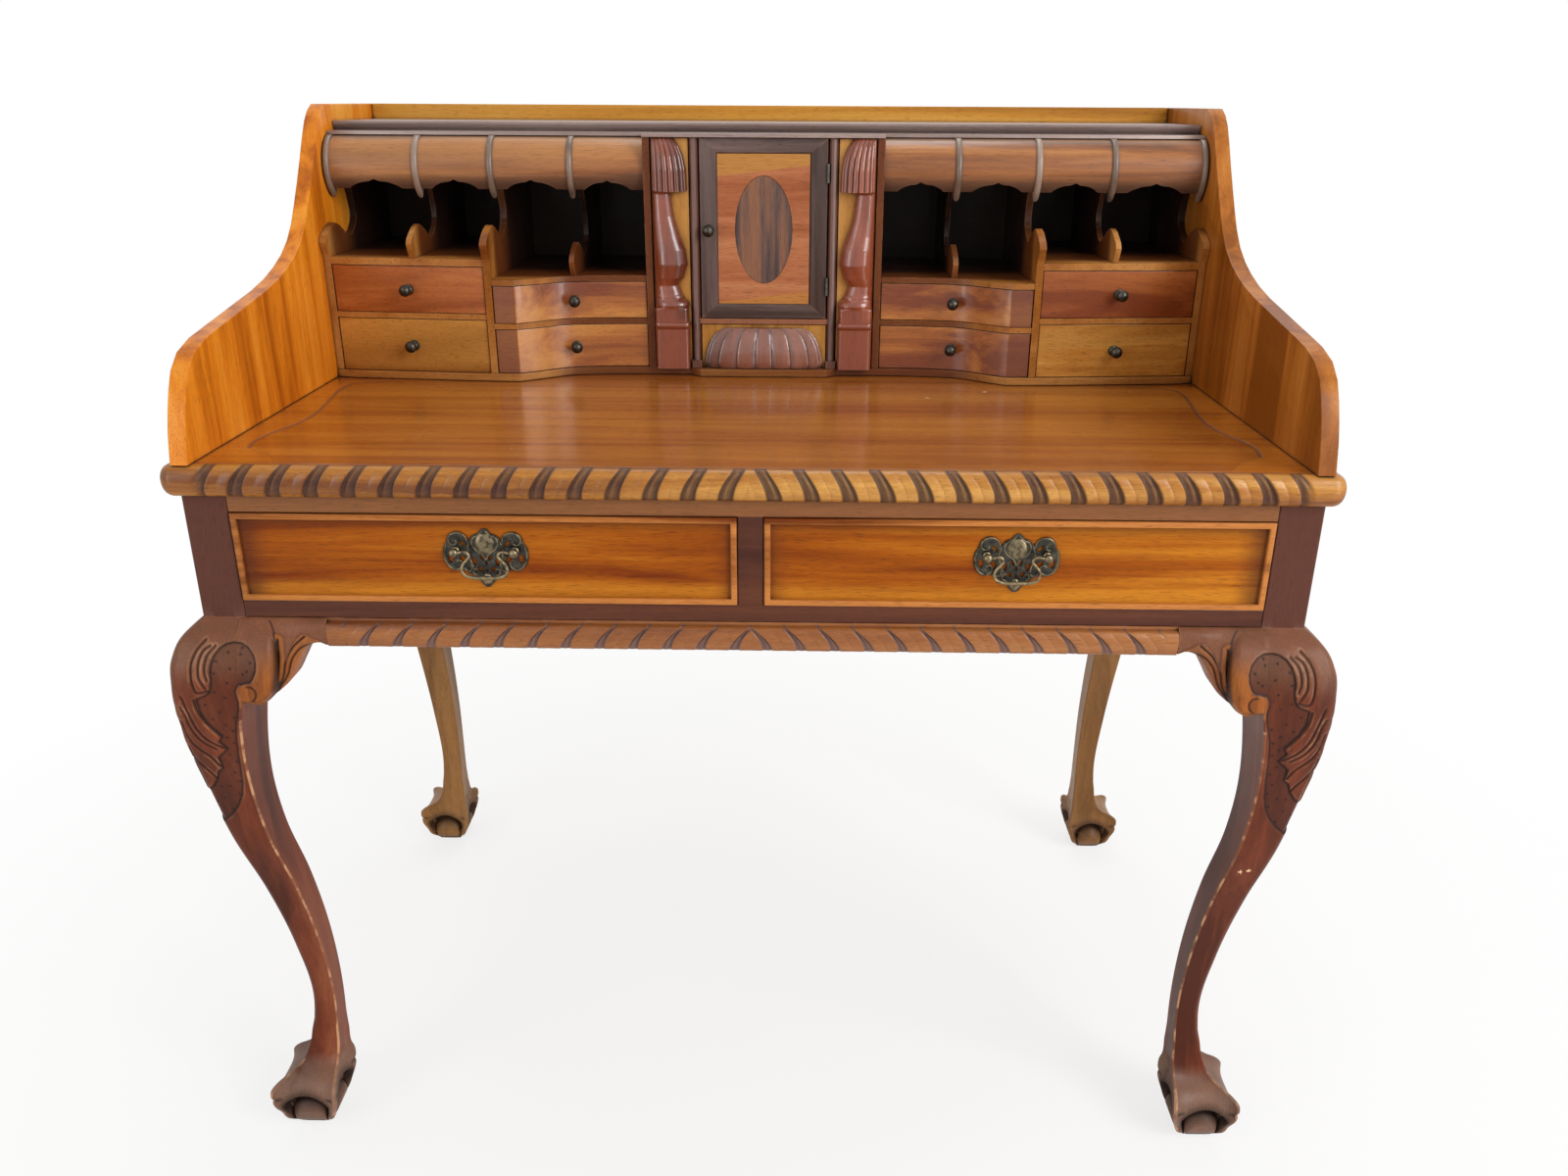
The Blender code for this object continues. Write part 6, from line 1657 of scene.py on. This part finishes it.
def make_writing_top():
    """The writing surface, with the shaped line that is cut into it on both sides."""
    low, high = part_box("writing_top")
    half = graded(TOP_COLUMNS)
    across, back = np.concatenate((-half[:0:-1], half)), graded(TOP_ROWS)
    spots = np.stack(np.meshgrid(np.abs(across), back, indexing="ij"), -1).reshape(-1, 2) / MILLIMETRE
    cut = to_line(spots, rounded_line(TOP_LINE))
    fade = smooth_step(spots[:, 0], *LINE_FADE)
    thin = to_line(spots, TOP_RETURN)
    rim = np.abs(spots[:, 1] - FRONT_LINE)
    relief = groove(cut, 2.0, 0.75) * fade + groove(thin, 0.9, 0.3) + groove(rim, 0.8, 0.3)
    # Painted shade in the cut lines and along the front.
    glaze = 0.9 * fade * near(cut, 2.3) + 0.35 * near(thin, 0.9) + 0.7 * near(rim, 0.8)
    amber = 0.75 * within(spots, TOP_MARGIN)
    shape = (len(across), len(back))
    level = (high.z + relief * MILLIMETRE).reshape(shape)
    rows = np.concatenate((back, back[-1:], back[:1]))
    level = np.concatenate((level, np.full((len(across), 2), low.z)), axis=1)
    x = np.repeat(across[:, None], level.shape[1], 1)
    points = np.stack((x, np.broadcast_to(rows, x.shape), level), -1).reshape(-1, 3)
    marks = {}
    for mark, values in (("glaze", np.clip(glaze, 0.0, 1.0)), ("amber", amber)):
        marks[mark] = np.concatenate((values.reshape(shape), np.zeros((len(across), 2))), axis=1)
    mesh_piece("grooved_writing_top", points, skin(x.shape), "top mahogany", "desk", ["writing_top"], marks, 30)


# The pull about the middle between its posts, in millimetres: across and up
PLATE_EDGE = (
    (0.0, 22.0), (3.6, 20.6), (5.2, 17.4), (9.6, 15.8), (13.0, 13.2), (15.0, 9.8), (17.6, 10.4), (19.6, 15.6),
    (24.8, 18.8), (31.0, 17.6), (35.0, 13.2), (36.4, 8.0), (39.4, 3.4), (40.4, -4.0), (39.4, -11.0), (35.6, -17.4),
    (29.6, -20.6),
    (23.6, -19.2), (19.4, -21.2), (14.6, -24.6), (9.0, -27.4), (6.4, -31.2), (3.0, -35.6), (0.0, -37.0),
)
PLATE_HOLES = (
    ((17.8, 5.0), (20.6, 8.6), (24.0, 10.6), (23.6, 7.6), (20.6, 4.2)),
    ((31.4, -5.4), (35.4, -3.6), (36.0, -8.6), (33.4, -13.0), (31.2, -10.0)),
    ((20.2, -6.0), (24.2, -5.4), (25.0, -10.4), (21.4, -14.2), (18.6, -11.0)),
    ((8.4, -9.6), (12.2, -7.0), (13.4, -12.2), (10.4, -15.6)),
    ((4.2, -17.2), (7.4, -15.8), (7.8, -20.4), (5.0, -21.6)),
    ((2.2, -6.2), (5.2, -4.2), (5.4, -8.2), (3.0, -10.4)),
)
MIDDLE_HOLES = (
    ((-1.6, -12.4), (0.0, -10.4), (1.6, -12.4), (0.0, -15.0)),
    ((-1.5, -20.4), (0.0, -18.6), (1.5, -20.4), (0.0, -23.2)),
)
PLATE_SCROLLS = (
    ((16.4, 9.4), (18.6, 14.6), (24.0, 17.6), (30.4, 16.4), (34.0, 11.6), (33.2, 7.0), (29.6, 5.4), (26.8, 7.4),
     (27.4, 10.4)),
    ((36.8, 6.0), (39.2, -3.0), (38.0, -11.0), (33.6, -17.4), (28.0, -19.2), (23.6, -16.4), (22.8, -12.0),
     (25.6, -9.4), (28.4, -11.0)),
    ((14.8, 8.6), (17.0, 1.0), (16.0, -6.0), (13.6, -13.0), (15.0, -20.0), (19.4, -20.0), (20.8, -17.0)),
    ((2.0, -33.6), (6.8, -27.0), (12.6, -22.8), (11.6, -18.6), (8.6, -18.8)),
    ((1.4, 19.6), (5.0, 15.4), (10.6, 12.6), (12.4, 7.0), (9.4, 1.0), (3.4, -3.4), (0.4, -9.0)),
)
SCROLL_GAUGE = (1.05, 0.75)
PULL_PLATE = 0.0016
PULL_POST_SHARES = (
    (0.00, 0.80), (0.10, 0.80), (0.16, 0.60), (0.34, 0.54), (0.46, 0.62), (0.54, 0.92), (0.66, 1.00), (0.80, 0.96),
    (0.92, 0.70), (1.00, 0.20),
)
BAIL_KNOTS = (
    (24.0, 0.4), (20.0, 1.6), (15.6, 0.8), (13.6, -2.6), (16.4, -6.8), (20.2, -11.4), (21.6, -16.4), (19.6, -21.2),
    (14.2, -23.8), (7.0, -24.4), (0.0, -24.6),
)
# Half thickness of the bail from end to end, in millimetres
BAIL_GAUGE = (1.5, 1.5, 1.4, 1.5, 1.7, 2.0, 1.7, 1.5, 1.4, 1.5, 1.5)
# The pull's middle, how far from it the posts stand, and their radius
PULL_MIDDLE = (0.250625, 0.71145)
POST_SPACING = 0.0283
PULL_POST_RADIUS = 0.0046
# The turned bosses over and under the middle: length, radius, sides, their height to their width, level, and how bright
# they are rubbed and painted as a highlight
BOSS_SHARES = ((0.0, 1.0), (0.30, 0.98), (0.60, 0.84), (0.85, 0.56), (1.0, 0.10))
BOSSES = ((0.0024, 0.0090, 36, 1.15, 0.0068, 0.55), (0.0020, 0.0044, 24, 1.3, -0.0290, 0.7))


def mirrored(path):
    """A path from its half on the right, run on over the middle."""
    return [(x, z) for x, z in path] + [(-x, z) for x, z in reversed(path[:-1])]


def pierced_plate(centre_x, centre_z, face):
    """A thin plate cut to the pull's outline, with its openwork, by a filled flat curve."""
    curve = bpy.data.curves.new("plate", "CURVE")
    curve.dimensions = "2D"
    curve.fill_mode = "BOTH"
    curve.extrude = 0.0003
    curve.bevel_depth = 0.0005
    curve.bevel_resolution = 2
    curve.offset = -0.0005
    half = [tuple(place) for place in rounded_line(PLATE_EDGE, 4)]
    outlines = [half + [(-x, z) for x, z in reversed(half[1:-1])]]
    for hole in PLATE_HOLES:
        outlines += [list(hole), [(-x, z) for x, z in hole]]
    outlines += [list(hole) for hole in MIDDLE_HOLES]
    for number, outline in enumerate(outlines):
        if number:
            outline = [tuple(place) for place in rounded_line(outline + outline[:1], 3)[:-1]]
        spline = curve.splines.new("POLY")
        spline.points.add(len(outline) - 1)
        for point, (x, z) in zip(spline.points, outline):
            point.co = (x * MILLIMETRE, z * MILLIMETRE, 0.0, 1.0)
        spline.use_cyclic_u = True
    holder = link(bpy.data.objects.new("plate", curve))
    graph = bpy.context.evaluated_depsgraph_get()
    mesh = bpy.data.meshes.new_from_object(holder.evaluated_get(graph))
    bpy.data.objects.remove(holder)
    points, faces, marks = arrays_of(mesh)
    points = np.stack((centre_x + points[:, 0], face - 0.0008 + points[:, 2], centre_z + points[:, 1]), -1)
    return points, faces, marks


def wire(path, radii, centre, level):
    """A wire laid along a path in the pull's plane."""
    line = rounded_line(path, 6) * MILLIMETRE
    places = np.stack((centre[0] + line[:, 0], np.broadcast_to(level, len(line)), centre[1] + line[:, 1]), -1)
    gauge = np.interp(np.linspace(0.0, 1.0, len(line)), np.linspace(0.0, 1.0, len(radii)), radii) * MILLIMETRE
    return swept("wire", places, gauge, "antique brass", 10)


def rubbed_and_highlight_part(part, strength):
    """A part of a pull whose metal is rubbed this bright, with the highlight painted in."""
    return part[0], part[1], np.full(len(part[0]), strength)


def make_pull(hand):
    """The batwing pull: a pierced plate with raised scrolls and two posts, and the bail that swings between them."""
    low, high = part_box(f"{hand}_pull_plate")
    centre = (SIDE_OF[hand] * PULL_MIDDLE[0], PULL_MIDDLE[1])
    face = high.y
    front = face - PULL_PLATE
    parts = [pierced_plate(*centre, face)]
    for path in PLATE_SCROLLS:
        for turn in (-1, 1):
            scroll = wire([(turn * x, z) for x, z in path], (0.55, *SCROLL_GAUGE, 0.85), centre, front + 0.0002)
            parts.append(rubbed_and_highlight_part(scroll, 0.45))
    for turn in (-1, 1):
        points, faces = turned(PULL_POST_SHARES, front - low.y + 0.0006, PULL_POST_RADIUS, 28)
        parts.append(rubbed_and_highlight_part((points + (centre[0] + turn * POST_SPACING, front + 0.0006, centre[1]), faces), 0.6))
    for length, radius, sides, taller, level, wear in BOSSES:
        boss, faces = turned(BOSS_SHARES, length, radius, sides)
        boss = boss * (1.0, 1.0, taller) + (centre[0], front + 0.0004, centre[1] + level)
        parts.append(rubbed_and_highlight_part((boss, faces), wear))
    points, faces, rubbed_and_highlight = together(parts)
    body, name = f"{hand}_drawer", f"{hand}_pull_plate"
    mesh_piece(f"{hand}_batwing_plate", points, faces, "antique brass", body, [name], {"rubbed_and_highlight": rubbed_and_highlight}, 40)
    low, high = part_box(f"{hand}_bail")
    points, faces, rubbed_and_highlight = rubbed_and_highlight_part(wire(mirrored(BAIL_KNOTS), BAIL_GAUGE, centre, (low.y + high.y) / 2), 0.85)
    marks, body, name = {"rubbed_and_highlight": rubbed_and_highlight}, f"{hand}_bail_handle", f"{hand}_bail"
    mesh_piece(f"{hand}_swan_neck_bail", points, faces, "antique brass", body, [name], marks, 60)


BOARDS = (
    "left_case_side", "right_case_side", "front_rails", "case_back", "gallery_base", "left_gallery_side",
    "right_gallery_side", "left_pigeonhole_frame", "right_pigeonhole_frame", "prospect_surround", "left_drawer_box",
    "right_drawer_box", "door_panel", "shell_drawer", "left_document_drawer", "right_document_drawer",
)
SMALL_DRAWERS = ("outer_lower", "outer_upper", "inner_lower", "inner_upper")


def make_plain_pieces():
    """The boards, drawers and door, which keep the shape of their solids, and the turned knobs."""
    softened("gallery_back", "gallery_back_board", NODE_FINISHES["gallery_back"], trim=cut_level, mark=dark_face)
    softened("gallery_top", "gallery_top_board", NODE_FINISHES["gallery_top"], joined=False)
    for node in BOARDS:
        softened(node, f"{node}_board", NODE_FINISHES[node])
    make_door_frame()
    for hand in HANDS:
        node = f"{hand}_drawer_front"
        softened(node, f"{node}_board", NODE_FINISHES[node], mark=on_bead)
        for place in SMALL_DRAWERS:
            node = f"{hand}_{place}_drawer"
            softened(node, f"{node}_case", NODE_FINISHES[node])
            make_knob(f"{node}_knob", f"{node}_turned_knob")
    make_knob("door_knob", "turned_door_knob")


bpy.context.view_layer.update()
place_camera()
light_the_room()
lay_floor()
FINISHES = make_finishes()
for node, thing in frame["nodes"].items():
    thing.data.materials.clear()
    thing.data.materials.append(FINISHES[NODE_FINISHES.get(node, "antique brass")])
for hand in HANDS:
    for row in ("front", "back"):
        make_leg(hand, row)
    make_knee_bracket(hand)
    make_canopy(hand)
    make_pilaster(hand)
make_edge_moulding()
make_apron_moulding()
make_shell()
make_writing_top()
for hand in HANDS:
    make_pull(hand)
make_plain_pieces()
